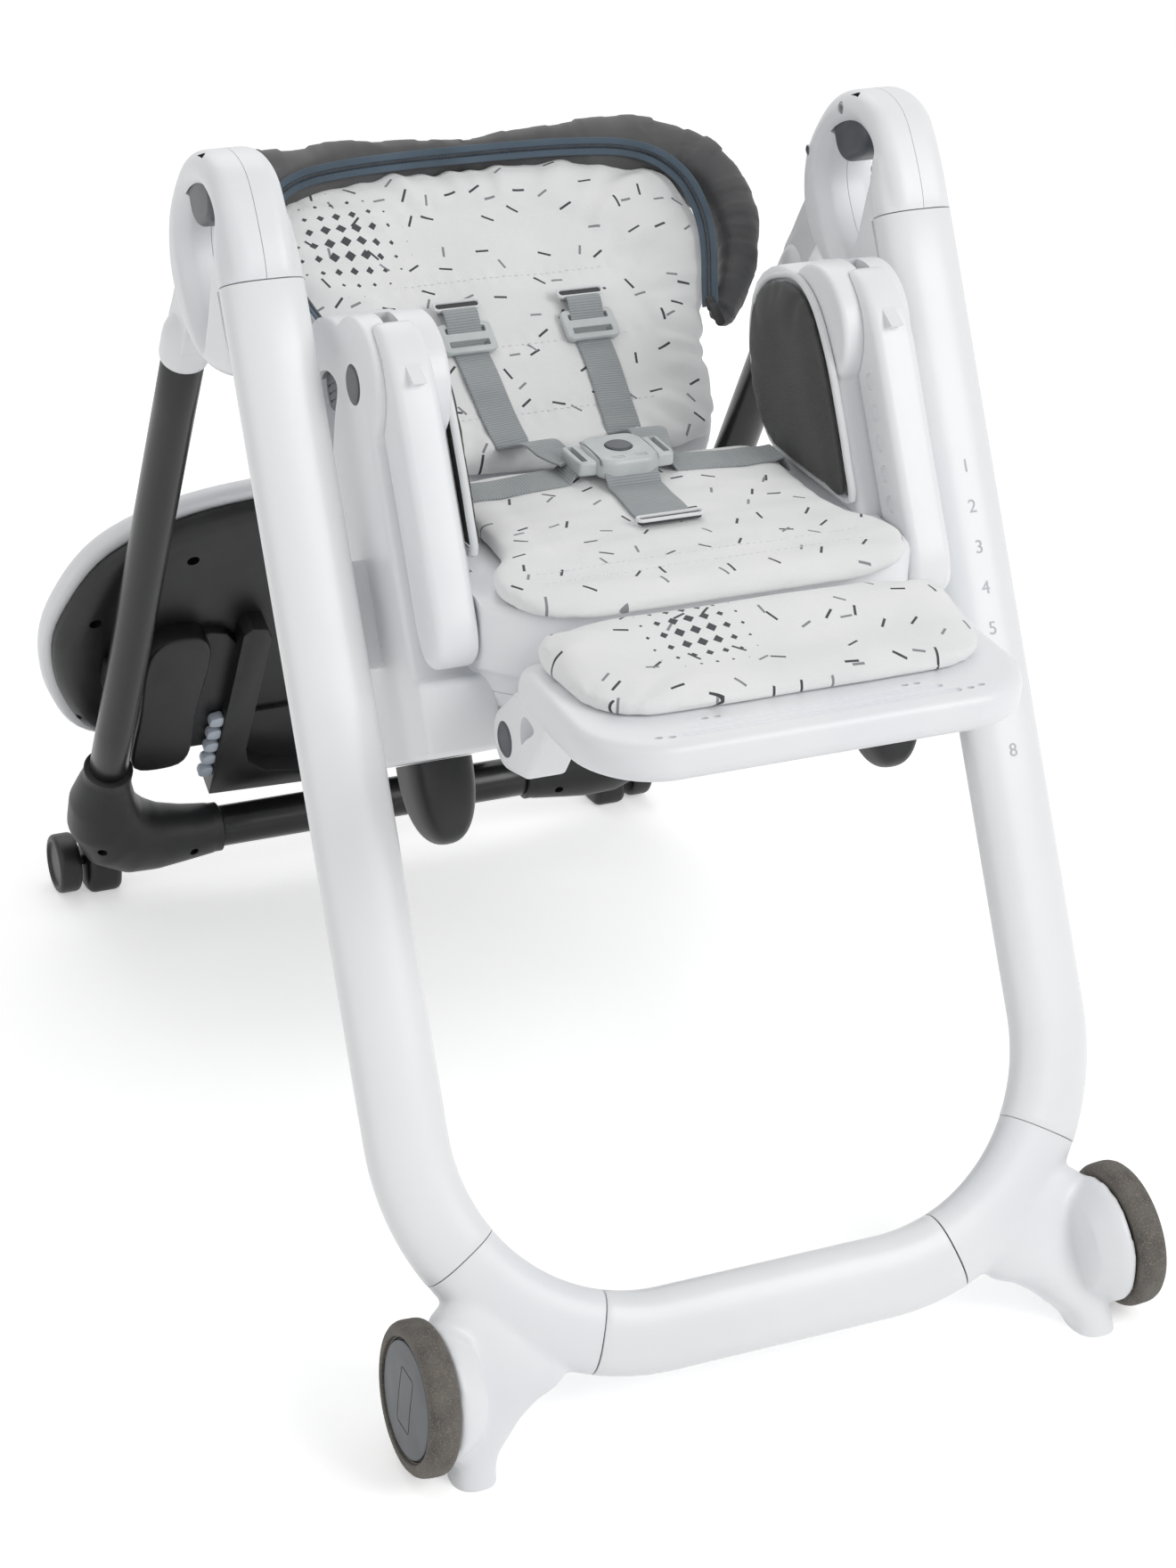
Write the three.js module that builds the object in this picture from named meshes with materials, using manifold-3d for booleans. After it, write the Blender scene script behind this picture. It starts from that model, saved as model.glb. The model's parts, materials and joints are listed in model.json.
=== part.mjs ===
// A folding, reclining baby high chair, in millimetres: X to the sitter's left, +Y to the back, +Z up.
// The front legs lean back and end in loop handles. The rear frame folds about a pivot in each handle.
// The seat slides along the front legs and carries the side pods, armrests, backrest and legrest.
import * as THREE from 'three';
import { mergeVertices } from 'three/addons/utils/BufferGeometryUtils.js';
import { RoundedBoxGeometry } from 'three/addons/geometries/RoundedBoxGeometry.js';
import { ConvexGeometry } from 'three/addons/geometries/ConvexGeometry.js';
import Module from 'manifold-3d';

const wasm = await Module();
wasm.setup();

// ---- driving dimensions ----
const GAP = 0.4;
const MIDDLE_Y = 19.35;

const LEG_LEAN = 29.22;
const LEG_TOP = [-15.6, 654];
const LEG_X = 228;
const LEG_HALF_WIDTH = 27;
const LEG_HALF_DEPTH = 16;
const CORNER_RADIUS = 150;
const CORNER_START = -538;
const LEG_SEAM_ANGLE = 31;
const BAR_SEAM_ANGLE = 71.5;

const HANDLE_X = 229;
const HANDLE_THICK = 46;
const PIVOT_V = 101;
const PIVOT_U = 38;
const TONGUE_THICK = 18;
const TONGUE_RADIUS = 15.5;
const FOLD_ANGLE = 40;

const REAR_LEAN = 27.7;
const REAR_TUBE_RADIUS = 15;
const REAR_AXIS = 7;
const REAR_BAR_RADIUS = 16.5;
const REAR_BAR = [-5, -659];
const REAR_COLLAR_X = 131;

const FRONT_WHEEL = { x: 250, y: -362, height: 53, radius: 49, width: 20, camber: 4 };
const REAR_WHEEL = { x: 250, y: 426, radius: 24, width: 18 };

const POD_X = [135, 185];
const ARM_X = [149, 179];
const ARM_PIVOT = [-14.5, -71];
const HEAD_RADIUS = 43;

const SEAT_TOP = 498;
const LEGREST_HINGE = [-228, 425];
const RECLINE_HINGE = [0, 475];
const RECLINE = 33;

// ---- finishes ----
const WHITE = { color: 0xeceded, roughness: 0.38, metalness: 0 };
const BLACK = { color: 0x232324, roughness: 0.42, metalness: 0 };
const SLATE = { color: 0x50555b, roughness: 0.5, metalness: 0 };
const TYRE = { color: 0x6b6763, roughness: 0.85, metalness: 0 };
const STEEL = { color: 0xa9acb0, roughness: 0.3, metalness: 1 };
const PADDING = { color: 0xf2f2f2, roughness: 0.9, metalness: 0 };
const DARK_CLOTH = { color: 0x4a4a4b, roughness: 0.9, metalness: 0 };
const WEBBING = { color: 0xa3a8aa, roughness: 0.85, metalness: 0 };
const CLIP = { color: 0xc9cdcd, roughness: 0.35, metalness: 0 };

// ---- frames: each group is one working frame of the chair ----
const radians = THREE.MathUtils.degToRad;
const chair = new THREE.Group();
chair.position.set(0, -MIDDLE_Y, 0);

// In the leg frame local Y is v, square to the leg and backwards, and local Z is u, up along the leg.
const legs = new THREE.Group();
legs.position.set(0, LEG_TOP[0], LEG_TOP[1]);
legs.rotation.x = radians(-LEG_LEAN);
chair.add(legs);

// The rear frame's origin is the fold pivot, local Y is square to the rear tubes and local Z runs up them.
const rear = new THREE.Group();
const pivot = new THREE.Vector3(0, PIVOT_V, PIVOT_U)
  .applyAxisAngle(new THREE.Vector3(1, 0, 0), radians(-LEG_LEAN))
  .add(legs.position);
rear.position.copy(pivot);
rear.rotation.x = radians(REAR_LEAN);
chair.add(rear);

// The back frame's origin is the recline hinge, local Y runs up the backrest and local Z faces the sitter.
const back = new THREE.Group();
back.position.set(0, RECLINE_HINGE[0], RECLINE_HINGE[1]);
back.rotation.x = radians(RECLINE);
chair.add(back);

chair.updateMatrixWorld(true);
const floorShift = new THREE.Matrix4().makeTranslation(0, -MIDDLE_Y, 0);

function chairTo(frame) {
  return frame.matrixWorld.clone().invert().multiply(floorShift);
}

// ---- solids ----
function solid(geometry) {
  const bare = geometry.clone();
  bare.deleteAttribute('normal');
  bare.deleteAttribute('uv');
  const merged = mergeVertices(bare, 1e-3);
  return new wasm.Manifold(new wasm.Mesh({
    numProp: 3,
    vertProperties: new Float32Array(merged.attributes.position.array),
    triVerts: new Uint32Array(merged.index.array),
  }));
}

function geometryOf(body) {
  const mesh = body.getMesh();
  const geometry = new THREE.BufferGeometry();
  geometry.setAttribute('position', new THREE.BufferAttribute(mesh.vertProperties, 3));
  geometry.setIndex(new THREE.BufferAttribute(mesh.triVerts, 1));
  geometry.computeVertexNormals();
  return geometry;
}

function join(...geometries) {
  return geometryOf(geometries.map(solid).reduce((whole, piece) => whole.add(piece)));
}

function cut(geometry, ...tools) {
  return geometryOf(tools.map(solid).reduce((rest, tool) => rest.subtract(tool), solid(geometry)));
}

function keep(geometry, other) {
  return geometryOf(solid(geometry).intersect(solid(other)));
}

function mirrored(geometry) {
  const copy = mergeVertices(geometryOf(solid(geometry)));
  copy.applyMatrix4(new THREE.Matrix4().makeScale(-1, 1, 1));
  const index = copy.index.array;
  for (let i = 0; i < index.length; i += 3) {
    [index[i + 1], index[i + 2]] = [index[i + 2], index[i + 1]];
  }
  copy.computeVertexNormals();
  return copy;
}

function addPiece(frame, name, geometry, finish) {
  const mesh = new THREE.Mesh(geometry, new THREE.MeshStandardMaterial(finish));
  mesh.name = name;
  frame.add(mesh);
  return mesh;
}

// The right-hand piece is modelled; its twin on the other side is the mirror image.
function addPair(frame, name, geometry, finish) {
  addPiece(frame, `right_${name}`, geometry, finish);
  addPiece(frame, `left_${name}`, mirrored(geometry), finish);
}

function box(x, y, z) {
  const geometry = new THREE.BoxGeometry(x[1] - x[0], y[1] - y[0], z[1] - z[0]);
  return geometry.translate((x[0] + x[1]) / 2, (y[0] + y[1]) / 2, (z[0] + z[1]) / 2);
}

function softBox(x, y, z, radius, segments = 1) {
  const geometry = new RoundedBoxGeometry(x[1] - x[0], y[1] - y[0], z[1] - z[0], segments, radius);
  return geometry.translate((x[0] + x[1]) / 2, (y[0] + y[1]) / 2, (z[0] + z[1]) / 2);
}

// A rod along X.
function rod(radius, x0, x1, y, z, sides = 24) {
  const geometry = new THREE.CylinderGeometry(radius, radius, x1 - x0, sides);
  return geometry.rotateZ(Math.PI / 2).translate((x0 + x1) / 2, y, z);
}

// Closed smooth outline through the points.
function smoothShape(points, divisions = 40) {
  const corners = points.map(([a, b]) => new THREE.Vector3(a, b, 0));
  const curve = new THREE.CatmullRomCurve3(corners, true, 'centripetal');
  return new THREE.Shape(curve.getPoints(divisions).slice(0, -1).map((p) => new THREE.Vector2(p.x, p.y)));
}

function roundedShape(x0, y0, x1, y1, [r00, r10, r11, r01]) {
  const shape = new THREE.Shape();
  shape.moveTo(x0 + r00, y0);
  shape.lineTo(x1 - r10, y0);
  shape.absarc(x1 - r10, y0 + r10, r10, -Math.PI / 2, 0);
  shape.lineTo(x1, y1 - r11);
  shape.absarc(x1 - r11, y1 - r11, r11, 0, Math.PI / 2);
  shape.lineTo(x0 + r01, y1);
  shape.absarc(x0 + r01, y1 - r01, r01, Math.PI / 2, Math.PI);
  shape.lineTo(x0, y0 + r00);
  shape.absarc(x0 + r00, y0 + r00, r00, Math.PI, Math.PI * 1.5);
  return shape;
}

// The same outline without points that sit on top of one another.
function spaced(shape, curveSegments) {
  const points = shape.getPoints(curveSegments);
  const kept = points.filter((point, i) => point.distanceTo(points[(i + 1) % points.length]) > 0.05);
  return new THREE.Shape(kept);
}

function bevelled(shape, thick, bevel, curveSegments = 6) {
  const geometry = new THREE.ExtrudeGeometry(spaced(shape, curveSegments), {
    depth: thick - 2 * bevel,
    bevelEnabled: bevel > 0,
    bevelThickness: bevel,
    bevelSize: bevel,
    bevelOffset: -bevel,
    bevelSegments: 1,
  });
  return geometry.translate(0, 0, bevel);
}

const X_AXIS = new THREE.Vector3(1, 0, 0);
const Y_AXIS = new THREE.Vector3(0, 1, 0);
const Z_AXIS = new THREE.Vector3(0, 0, 1);

// An outline drawn in (Y, Z), thick along X.
function sidePlate(shape, x0, x1, bevel = 0, curveSegments = 6) {
  const turn = new THREE.Matrix4().makeBasis(Y_AXIS, Z_AXIS, X_AXIS);
  return bevelled(shape, x1 - x0, bevel, curveSegments).applyMatrix4(turn).translate(x0, 0, 0);
}

// An outline drawn in (X, Y), thick along Z.
function flatPlate(shape, z0, z1, bevel = 0, curveSegments = 6) {
  return bevelled(shape, z1 - z0, bevel, curveSegments).translate(0, 0, z0);
}

// An outline drawn in (X, Z), thick along Y.
function frontPlate(shape, y0, y1, bevel = 0, curveSegments = 6) {
  const turn = new THREE.Matrix4().makeBasis(X_AXIS, Z_AXIS, Y_AXIS.clone().negate());
  return bevelled(shape, y1 - y0, bevel, curveSegments).applyMatrix4(turn).translate(0, y1, 0);
}

// A rounded-oval ring of points, wide along one unit vector and deep along another.
function ovalRing(centre, across, deep, halfWidth, halfDepth, sides = 20, squareness = 2.5) {
  const ring = [];
  for (let i = 0; i < sides; i += 1) {
    const angle = (2 * Math.PI * i) / sides;
    const c = Math.cos(angle);
    const s = Math.sin(angle);
    const a = Math.sign(c) * Math.abs(c) ** (2 / squareness) * halfWidth;
    const b = Math.sign(s) * Math.abs(s) ** (2 / squareness) * halfDepth;
    ring.push(centre.clone().addScaledVector(across, a).addScaledVector(deep, b));
  }
  return ring;
}

// A closed skin over a row of rings that all have the same number of points.
function skin(rings) {
  const sides = rings[0].length;
  const points = rings.flat();
  const index = [];
  for (let r = 0; r < rings.length - 1; r += 1) {
    for (let i = 0; i < sides; i += 1) {
      const j = (i + 1) % sides;
      const low = r * sides;
      const high = low + sides;
      index.push(low + i, low + j, high + j, low + i, high + j, high + i);
    }
  }
  for (let i = 1; i < sides - 1; i += 1) {
    const last = (rings.length - 1) * sides;
    index.push(0, i + 1, i, last, last + i, last + i + 1);
  }
  const geometry = new THREE.BufferGeometry().setFromPoints(points);
  geometry.setIndex(index);
  if (solid(geometry).volume() > 0) {
    return geometry;
  }
  for (let i = 0; i < index.length; i += 3) {
    [index[i + 1], index[i + 2]] = [index[i + 2], index[i + 1]];
  }
  return geometry.setIndex(index);
}

// ---- front frame ----
const CORNER_X = LEG_X - CORNER_RADIUS;

function cornerRing(degrees, side = 1) {
  const angle = radians(degrees);
  const out = new THREE.Vector3(Math.cos(angle) * side, 0, -Math.sin(angle));
  const centre = new THREE.Vector3(CORNER_X * side, 0, CORNER_START).addScaledVector(out, CORNER_RADIUS);
  return ovalRing(centre, out, Y_AXIS, LEG_HALF_WIDTH, LEG_HALF_DEPTH);
}

function cornerArc(from, to, steps, side = 1) {
  const rings = [];
  for (let i = 0; i <= steps; i += 1) {
    rings.push(cornerRing(from + ((to - from) * i) / steps, side));
  }
  return rings;
}

const SEAM_GAP = THREE.MathUtils.radToDeg(GAP / CORNER_RADIUS);

function makeFrontTube() {
  const top = ovalRing(new THREE.Vector3(LEG_X, 0, -GAP), X_AXIS, Y_AXIS, LEG_HALF_WIDTH, LEG_HALF_DEPTH);
  return skin([top, ...cornerArc(0, LEG_SEAM_ANGLE, 4)]);
}

function makeFrontBar() {
  const right = cornerArc(BAR_SEAM_ANGLE, 90, 2);
  const left = cornerArc(90, BAR_SEAM_ANGLE, 2, -1);
  return skin([...right, ...left]);
}

const TYRE_EDGE = 6;
const TYRE_BORE = 38;

// The wheel leans outwards at the top. The chair stands on its foot pads, a little below the tyres.
function wheelAxis({ x, y, height, camber }) {
  return new THREE.Matrix4().makeRotationY(-radians(camber)).setPosition(x, y, height);
}

// Turns a list of [radius, place along X] around the X axis.
function lathe(profile, sides = 28) {
  const points = profile.map(([radius, along]) => new THREE.Vector2(radius, along));
  return new THREE.LatheGeometry(points, sides).rotateZ(-Math.PI / 2);
}

function below(level) {
  return box([-400, 400], [-600, 600], [level - 200, level]);
}

function makeFrontFoot() {
  const corner = skin(cornerArc(LEG_SEAM_ANGLE + SEAM_GAP, BAR_SEAM_ANGLE - SEAM_GAP, 5));
  const column = [
    [-646, 198, 12, 12],
    [-664, 203, 24, 15.4],
    [-690, 203, 31, 15.8],
    [-708, 210, 25, 15.6],
    [-724, 215.5, 19.5, 15.2],
    [-740, 219, 16, 14.6],
    [-764, 221, 14, 14],
  ].map(([u, x, width, depth]) => (
    ovalRing(new THREE.Vector3(x, 0, u), X_AXIS, Y_AXIS, width, depth)
  ));
  const inner = -FRONT_WHEEL.width / 2;
  const boss = lathe([
    [0, inner - 20], [34, inner - 20], [42, inner - 8], [42, inner - 3], [40, inner - 1.2], [0, inner - 1.2],
  ]);
  const onAxle = [rod(5, -30, 5, 0, 0, 16), boss].map((piece) => (
    piece.applyMatrix4(wheelAxis(FRONT_WHEEL)).applyMatrix4(chairTo(legs))
  ));
  const floor = below(0).applyMatrix4(chairTo(legs));
  return cut(join(corner, skin(column), ...onAxle), floor);
}

addPair(legs, 'front_tube', makeFrontTube(), WHITE);
addPair(legs, 'front_foot', makeFrontFoot(), WHITE);
addPiece(legs, 'front_bar', makeFrontBar(), WHITE);

// ---- handles: two half shells on each leg top, with a finger slot and a pocket for the rear leg's head ----
const RING_OUTLINE = [
  [-16, 0], [-17, 36], [-9, 68], [14, 87], [44, 93], [74, 85], [102, 67], [117, 38],
  [115, 10], [103, -14], [82, -34], [52, -47], [26, -52], [17, -44], [16.6, -20], [10, 0],
];
const SLOT_OUTLINE = [
  [5, 42], [18, 62], [44, 69], [70, 63], [84, 44], [85, 18], [77, -10], [68, -22], [57, -14], [28, 14],
];

// The finger slot flares at both faces so that its edges are soft.
function makeFingerSlot() {
  const [middleV, middleU] = [50, 25];
  const outline = smoothShape(SLOT_OUTLINE, 26).getPoints();
  const half = HANDLE_THICK / 2;
  return skin([[-half - 1, 1.2], [-half + 6, 1], [half - 6, 1], [half + 1, 1.2]].map(([along, size]) => (
    outline.map(({ x, y }) => new THREE.Vector3(
      HANDLE_X + along, middleV + (x - middleV) * size, middleU + (y - middleU) * size,
    ))
  )));
}

function makeRing() {
  const half = HANDLE_THICK / 2;
  const plate = sidePlate(smoothShape(RING_OUTLINE, 44), HANDLE_X - half, HANDLE_X + half, 7);
  const ring = cut(plate, makeFingerSlot());
  const post = skin([
    [0, LEG_X, LEG_HALF_WIDTH, LEG_HALF_DEPTH, 0],
    [14, LEG_X, 26.4, 15.6, 0],
    [34, HANDLE_X - 0.5, 24, 12.6, -3],
    [52, HANDLE_X, 20, 8, -3],
  ].map(([u, x, width, depth, v]) => (
    ovalRing(new THREE.Vector3(x, v, u), X_AXIS, Y_AXIS, width, depth)
  )));
  const tubeRoom = box([195, 262], [-40, LEG_HALF_DEPTH + GAP], [-80, 0]);
  return join(cut(ring, tubeRoom), post);
}

// The pocket is the space that the rear leg's flat head sweeps as the frame folds.
function makeSweep(x0, x1, reach, radius) {
  const corners = [];
  const first = -LEG_LEAN - REAR_LEAN;
  for (let i = 0; i <= 8; i += 1) {
    const turn = radians(-first - (FOLD_ANGLE * i) / 8);
    for (const side of [-1, 1]) {
      for (const length of [0, reach]) {
        const y = PIVOT_V + Math.sin(turn) * length + Math.cos(turn) * radius * side;
        const z = PIVOT_U - Math.cos(turn) * length + Math.sin(turn) * radius * side;
        corners.push(new THREE.Vector3(x0, y, z), new THREE.Vector3(x1, y, z));
      }
    }
  }
  return new ConvexGeometry(corners);
}

const BUTTON_SHAPE = roundedShape(14, 48, 46, 80, [14, 14, 4, 4]);
const BUTTON_ROOM = roundedShape(13.4, 40, 46.6, 87, [4, 4, 4, 4]);
const BUTTON_TRAVEL = 5;

function makeHandle() {
  const ring = makeRing();
  const half = TONGUE_THICK / 2 + GAP;
  const sweep = makeSweep(HANDLE_X - half, HANDLE_X + half, 130, TONGUE_RADIUS + 9.5);
  const knob = rod(TONGUE_RADIUS + 1.2, HANDLE_X - half, HANDLE_X + half, PIVOT_V, PIVOT_U, 32);
  const room = sidePlate(BUTTON_ROOM, HANDLE_X - 13.5, HANDLE_X + 13.5);
  const hollow = cut(ring, sweep, knob, room);
  const pin = rod(5, HANDLE_X - 15, HANDLE_X + 16, PIVOT_V, PIVOT_U);
  const pinRoom = rod(5 + GAP, HANDLE_X - 15 - GAP, HANDLE_X, PIVOT_V, PIVOT_U);
  const inner = keep(hollow, box([190, HANDLE_X - GAP / 2], [-60, 160], [-90, 130]));
  const outer = keep(hollow, box([HANDLE_X + GAP / 2, 270], [-60, 160], [-90, 130]));
  return { outer: join(outer, pin), inner: cut(inner, pinRoom) };
}

const handle = makeHandle();
addPair(legs, 'handle_outer', handle.outer, WHITE);
addPair(legs, 'handle_inner', handle.inner, WHITE);
addPair(legs, 'fold_button', sidePlate(BUTTON_SHAPE, HANDLE_X - 13, HANDLE_X + 13, 3), SLATE);

// ---- front wheels ----
function makeFrontTyre() {
  const { radius, width } = FRONT_WHEEL;
  const half = width / 2;
  const edge = TYRE_EDGE;
  const profile = [
    [TYRE_BORE, -half], [radius - edge, -half], [radius - 1.8, -half + 1.8], [radius, -half + edge],
    [radius, half - edge], [radius - 1.8, half - 1.8], [radius - edge, half], [TYRE_BORE, half],
    [TYRE_BORE, -half],
  ];
  return lathe(profile).applyMatrix4(wheelAxis(FRONT_WHEEL));
}

function makeFrontHub() {
  const half = FRONT_WHEEL.width / 2 - 1.5;
  const rim = TYRE_BORE - 0.5;
  const bore = 5 + GAP;
  const profile = [
    [bore, -half], [rim, -half], [rim, half], [rim - 4, half + 1.5], [0, half + 2], [0, 6], [bore, 6],
    [bore, -half],
  ];
  return lathe(profile).applyMatrix4(wheelAxis(FRONT_WHEEL));
}

addPair(chair, 'front_tyre', makeFrontTyre(), TYRE);
addPair(chair, 'front_hub', makeFrontHub(), SLATE);

// ---- rear frame ----
const SLEEVE_TOP = -70;
const SLEEVE_LOW = -104;
const REAR_COLLAR = -570;

function makeRearHead() {
  const outline = smoothShape([
    [-15.5, 0], [-11, 11], [0, 15.5], [11, 11], [17, 0], [22, -25], [23, -60], [23, -86], [7, -94],
    [-9, -86], [-9, -60], [-13, -25],
  ], 36);
  const half = TONGUE_THICK / 2;
  const tongue = sidePlate(outline, HANDLE_X - half, HANDLE_X + half, 2);
  const sleeve = skin([
    [SLEEVE_TOP, 10], [SLEEVE_TOP - 4, 15], [SLEEVE_TOP - 12, 17], [SLEEVE_LOW + 6, 17], [SLEEVE_LOW, 15.5],
  ].map(([w, radius]) => ovalRing(new THREE.Vector3(HANDLE_X, REAR_AXIS, w), X_AXIS, Y_AXIS, radius, radius, 20, 2)));
  const pinHole = rod(5 + GAP, HANDLE_X - 20, HANDLE_X + 20, 0, 0);
  return cut(join(tongue, sleeve), pinHole);
}

function makeRearTube() {
  const length = SLEEVE_LOW - REAR_COLLAR - 2 * GAP;
  const tube = new THREE.CylinderGeometry(REAR_TUBE_RADIUS, REAR_TUBE_RADIUS, length, 24);
  return tube.rotateX(Math.PI / 2).translate(HANDLE_X, REAR_AXIS, (SLEEVE_LOW + REAR_COLLAR) / 2);
}

// The rear corner is an elbow that swells at the bend, with a foot pad and a well for the small wheel.
function makeRearCorner() {
  const stations = [
    [229, REAR_AXIS, REAR_COLLAR, 18.5], [231, 6, -598, 24], [229, 3, -628, 30], [214, -1, -650, 32],
    [188, -4, -658, 29], [160, REAR_BAR[0], REAR_BAR[1], 23], [REAR_COLLAR_X, REAR_BAR[0], REAR_BAR[1], 19.5],
  ];
  const path = new THREE.CatmullRomCurve3(stations.map(([x, n, w]) => new THREE.Vector3(x, n, w)));
  const rings = stations.map(([x, n, w, radius], i) => {
    const along = i === 0 ? Z_AXIS.clone().negate() : path.getTangent(i / (stations.length - 1));
    const across = Y_AXIS.clone().cross(along).normalize();
    const deep = along.clone().cross(across).normalize();
    return ovalRing(new THREE.Vector3(x, n, w), across, deep, radius, radius, 20, 2.2);
  });
  const { x, y, radius, width } = REAR_WHEEL;
  const sole = softBox([207, 236], [y - 22, y + 17], [0, 46], 9);
  const axle = rod(4, 230, x + width / 2 - 6, y, radius, 16);
  const well = rod(radius + 3, x - width / 2 - 2, 290, y, radius, 22);
  const trim = below(0);
  const ground = [sole, axle, well, trim].map((piece) => piece.applyMatrix4(chairTo(rear)));
  return cut(join(cut(skin(rings), ground[2]), ground[0], ground[1]), ground[3]);
}

function makeRearWheel() {
  const { x, y, radius, width } = REAR_WHEEL;
  const half = width / 2;
  const bore = 4 + GAP;
  const profile = [
    [bore, -half], [radius - 5, -half], [radius - 1, -half + 2], [radius, -half + 5], [radius, half - 5],
    [radius - 1, half - 2], [radius - 5, half], [0, half], [0, half - 5], [bore, half - 5], [bore, -half],
  ];
  return lathe(profile, 22).translate(x, y, radius);
}

addPair(rear, 'rear_head', makeRearHead(), WHITE);
addPair(rear, 'rear_tube', makeRearTube(), BLACK);
addPair(rear, 'rear_corner', makeRearCorner(), BLACK);
addPair(chair, 'rear_wheel', makeRearWheel(), BLACK);
const barReach = REAR_COLLAR_X - GAP;
addPiece(rear, 'rear_bar', rod(REAR_BAR_RADIUS, -barReach, barReach, REAR_BAR[0], REAR_BAR[1]), BLACK);

// ---- tray, stored behind the rear tubes ----
const TRAY_LEVELS = { arms: 20, base: 37, plate: 52, top: 68 };
const TRAY_DROP = 135;

function trayShape(shrink) {
  const half = [
    [0, -172], [110, -174], [196, -188], [250, -222], [276, -280], [281, -332], [268, -392], [236, -446],
    [170, -468], [90, -458],
  ];
  const right = half.map(([x, w]) => [x - (x > 0 ? shrink : 0), w > -320 ? w - shrink : w + shrink]);
  const left = right.slice(1).reverse().map(([x, w]) => [-x, w]);
  return smoothShape([...right, [0, -448 + shrink], ...left], 44);
}

function lowered(piece) {
  return piece.translate(0, 0, -TRAY_DROP);
}

// Outlines in (X, W) with the thickness along the frame's Y.
function makeTrayPlate() {
  const plate = frontPlate(trayShape(0), TRAY_LEVELS.plate, TRAY_LEVELS.top, 5);
  const dish = frontPlate(trayShape(20), TRAY_LEVELS.top - 9, TRAY_LEVELS.top + 5);
  return cut(plate, dish);
}

function makeTrayBase() {
  const plate = frontPlate(trayShape(7), TRAY_LEVELS.base, TRAY_LEVELS.plate - GAP, 3);
  const arms = [-1, 1].flatMap((side) => {
    const across = (a, b) => [Math.min(a * side, b * side), Math.max(a * side, b * side)];
    return [
      softBox(across(160, 204), [TRAY_LEVELS.arms, 42], [-468, -303], 3),
      softBox(across(108, 132), [TRAY_LEVELS.arms, 42], [-516, -302], 3),
      softBox(across(124, 168), [32, 42], [-464, -310], 2),
    ];
  });
  return join(plate, ...arms);
}

function makeTrayClip() {
  return softBox([221, 237], [REAR_AXIS + REAR_TUBE_RADIUS + GAP, 36.4], [-360, -330], 2);
}

addPiece(rear, 'tray_plate', lowered(makeTrayPlate()), WHITE);
addPiece(rear, 'tray_base', lowered(makeTrayBase()), BLACK);
addPair(rear, 'tray_clip', lowered(makeTrayClip()), BLACK);

// ---- side pods: the seat's side housings, with the armrest's head, a release button and a height lever ----
function podShape(grow = 0) {
  const shape = new THREE.Shape();
  const [v, u] = ARM_PIVOT;
  const reach = HEAD_RADIUS - GAP + grow;
  const front = -33 - grow;
  const low = Math.asin((front - v) / reach);
  shape.moveTo(-42 - grow, -308 - grow);
  shape.lineTo(-42 - grow, -262 + grow);
  shape.lineTo(front, -258 + grow);
  shape.lineTo(front, u - Math.cos(low) * reach);
  shape.absarc(v, u, reach, -Math.PI / 2 + low, radians(75) - 2 * Math.PI, true);
  shape.splineThru([
    [14, -24], [38, -20], [60, -24], [78, -40], [85, -64], [83, -110], [70, -190], [60, -250], [56, -308],
  ].map(([a, b]) => new THREE.Vector2(a + grow, b + (b < -300 ? -grow : grow))));
  return shape;
}

// The tongue of the armrest turns in this slot.
function makeArmSweep(x0, x1) {
  const corners = [];
  const [v, u] = ARM_PIVOT;
  for (let i = 0; i <= 8; i += 1) {
    const turn = radians(-(ARM_RAISE * i) / 8);
    for (const side of [-1, 1]) {
      for (const length of [0, 70]) {
        const y = v - Math.cos(turn) * length - Math.sin(turn) * 13 * side;
        const z = u - Math.sin(turn) * length + Math.cos(turn) * 13 * side;
        corners.push(new THREE.Vector3(x0, y, z), new THREE.Vector3(x1, y, z));
      }
    }
  }
  return new ConvexGeometry(corners);
}

const ARM_RAISE = 62;
const TONGUE_X = [159, 168];
const ARM_BUTTON_RADIUS = 12.5;
const LEVER_OUTLINE = [[16, -66], [30, -55], [54, -55], [66, -70], [62, -104], [55, -118], [46, -106]];

function makePod() {
  const pod = sidePlate(podShape(), POD_X[0], POD_X[1], 5, 5);
  const slot = makeArmSweep(TONGUE_X[0] - GAP, TONGUE_X[1] + GAP);
  const knob = rod(16 + GAP, TONGUE_X[0] - GAP, TONGUE_X[1] + GAP, ...ARM_PIVOT, 20);
  const button = rod(ARM_BUTTON_RADIUS + GAP, POD_X[1] - 8, POD_X[1] + 2, ...ARM_PIVOT, 20);
  const fingers = sidePlate(smoothShape(LEVER_OUTLINE, 28), POD_X[1] - 15, POD_X[1] + 2);
  const leverRoom = box([POD_X[1] - 15, POD_X[1] - 5], [29, 56], [-70, -44]);
  const shoe = softBox([POD_X[1] - 8, 240], [LEG_HALF_DEPTH + 1, LEG_HALF_DEPTH + 15], [-246, -176], 3);
  return cut(join(pod, shoe), slot, knob, button, fingers, leverRoom);
}

const SLAB_OUTLINE = [
  [-34, -232], [-34, -170], [-34, -110], [-34, -64], [-37, -46], [-46, -39], [-59, -50], [-67, -68], [-70, -96],
  [-70, -165], [-70, -232], [-64, -250], [-52, -255], [-40, -250],
];

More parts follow.
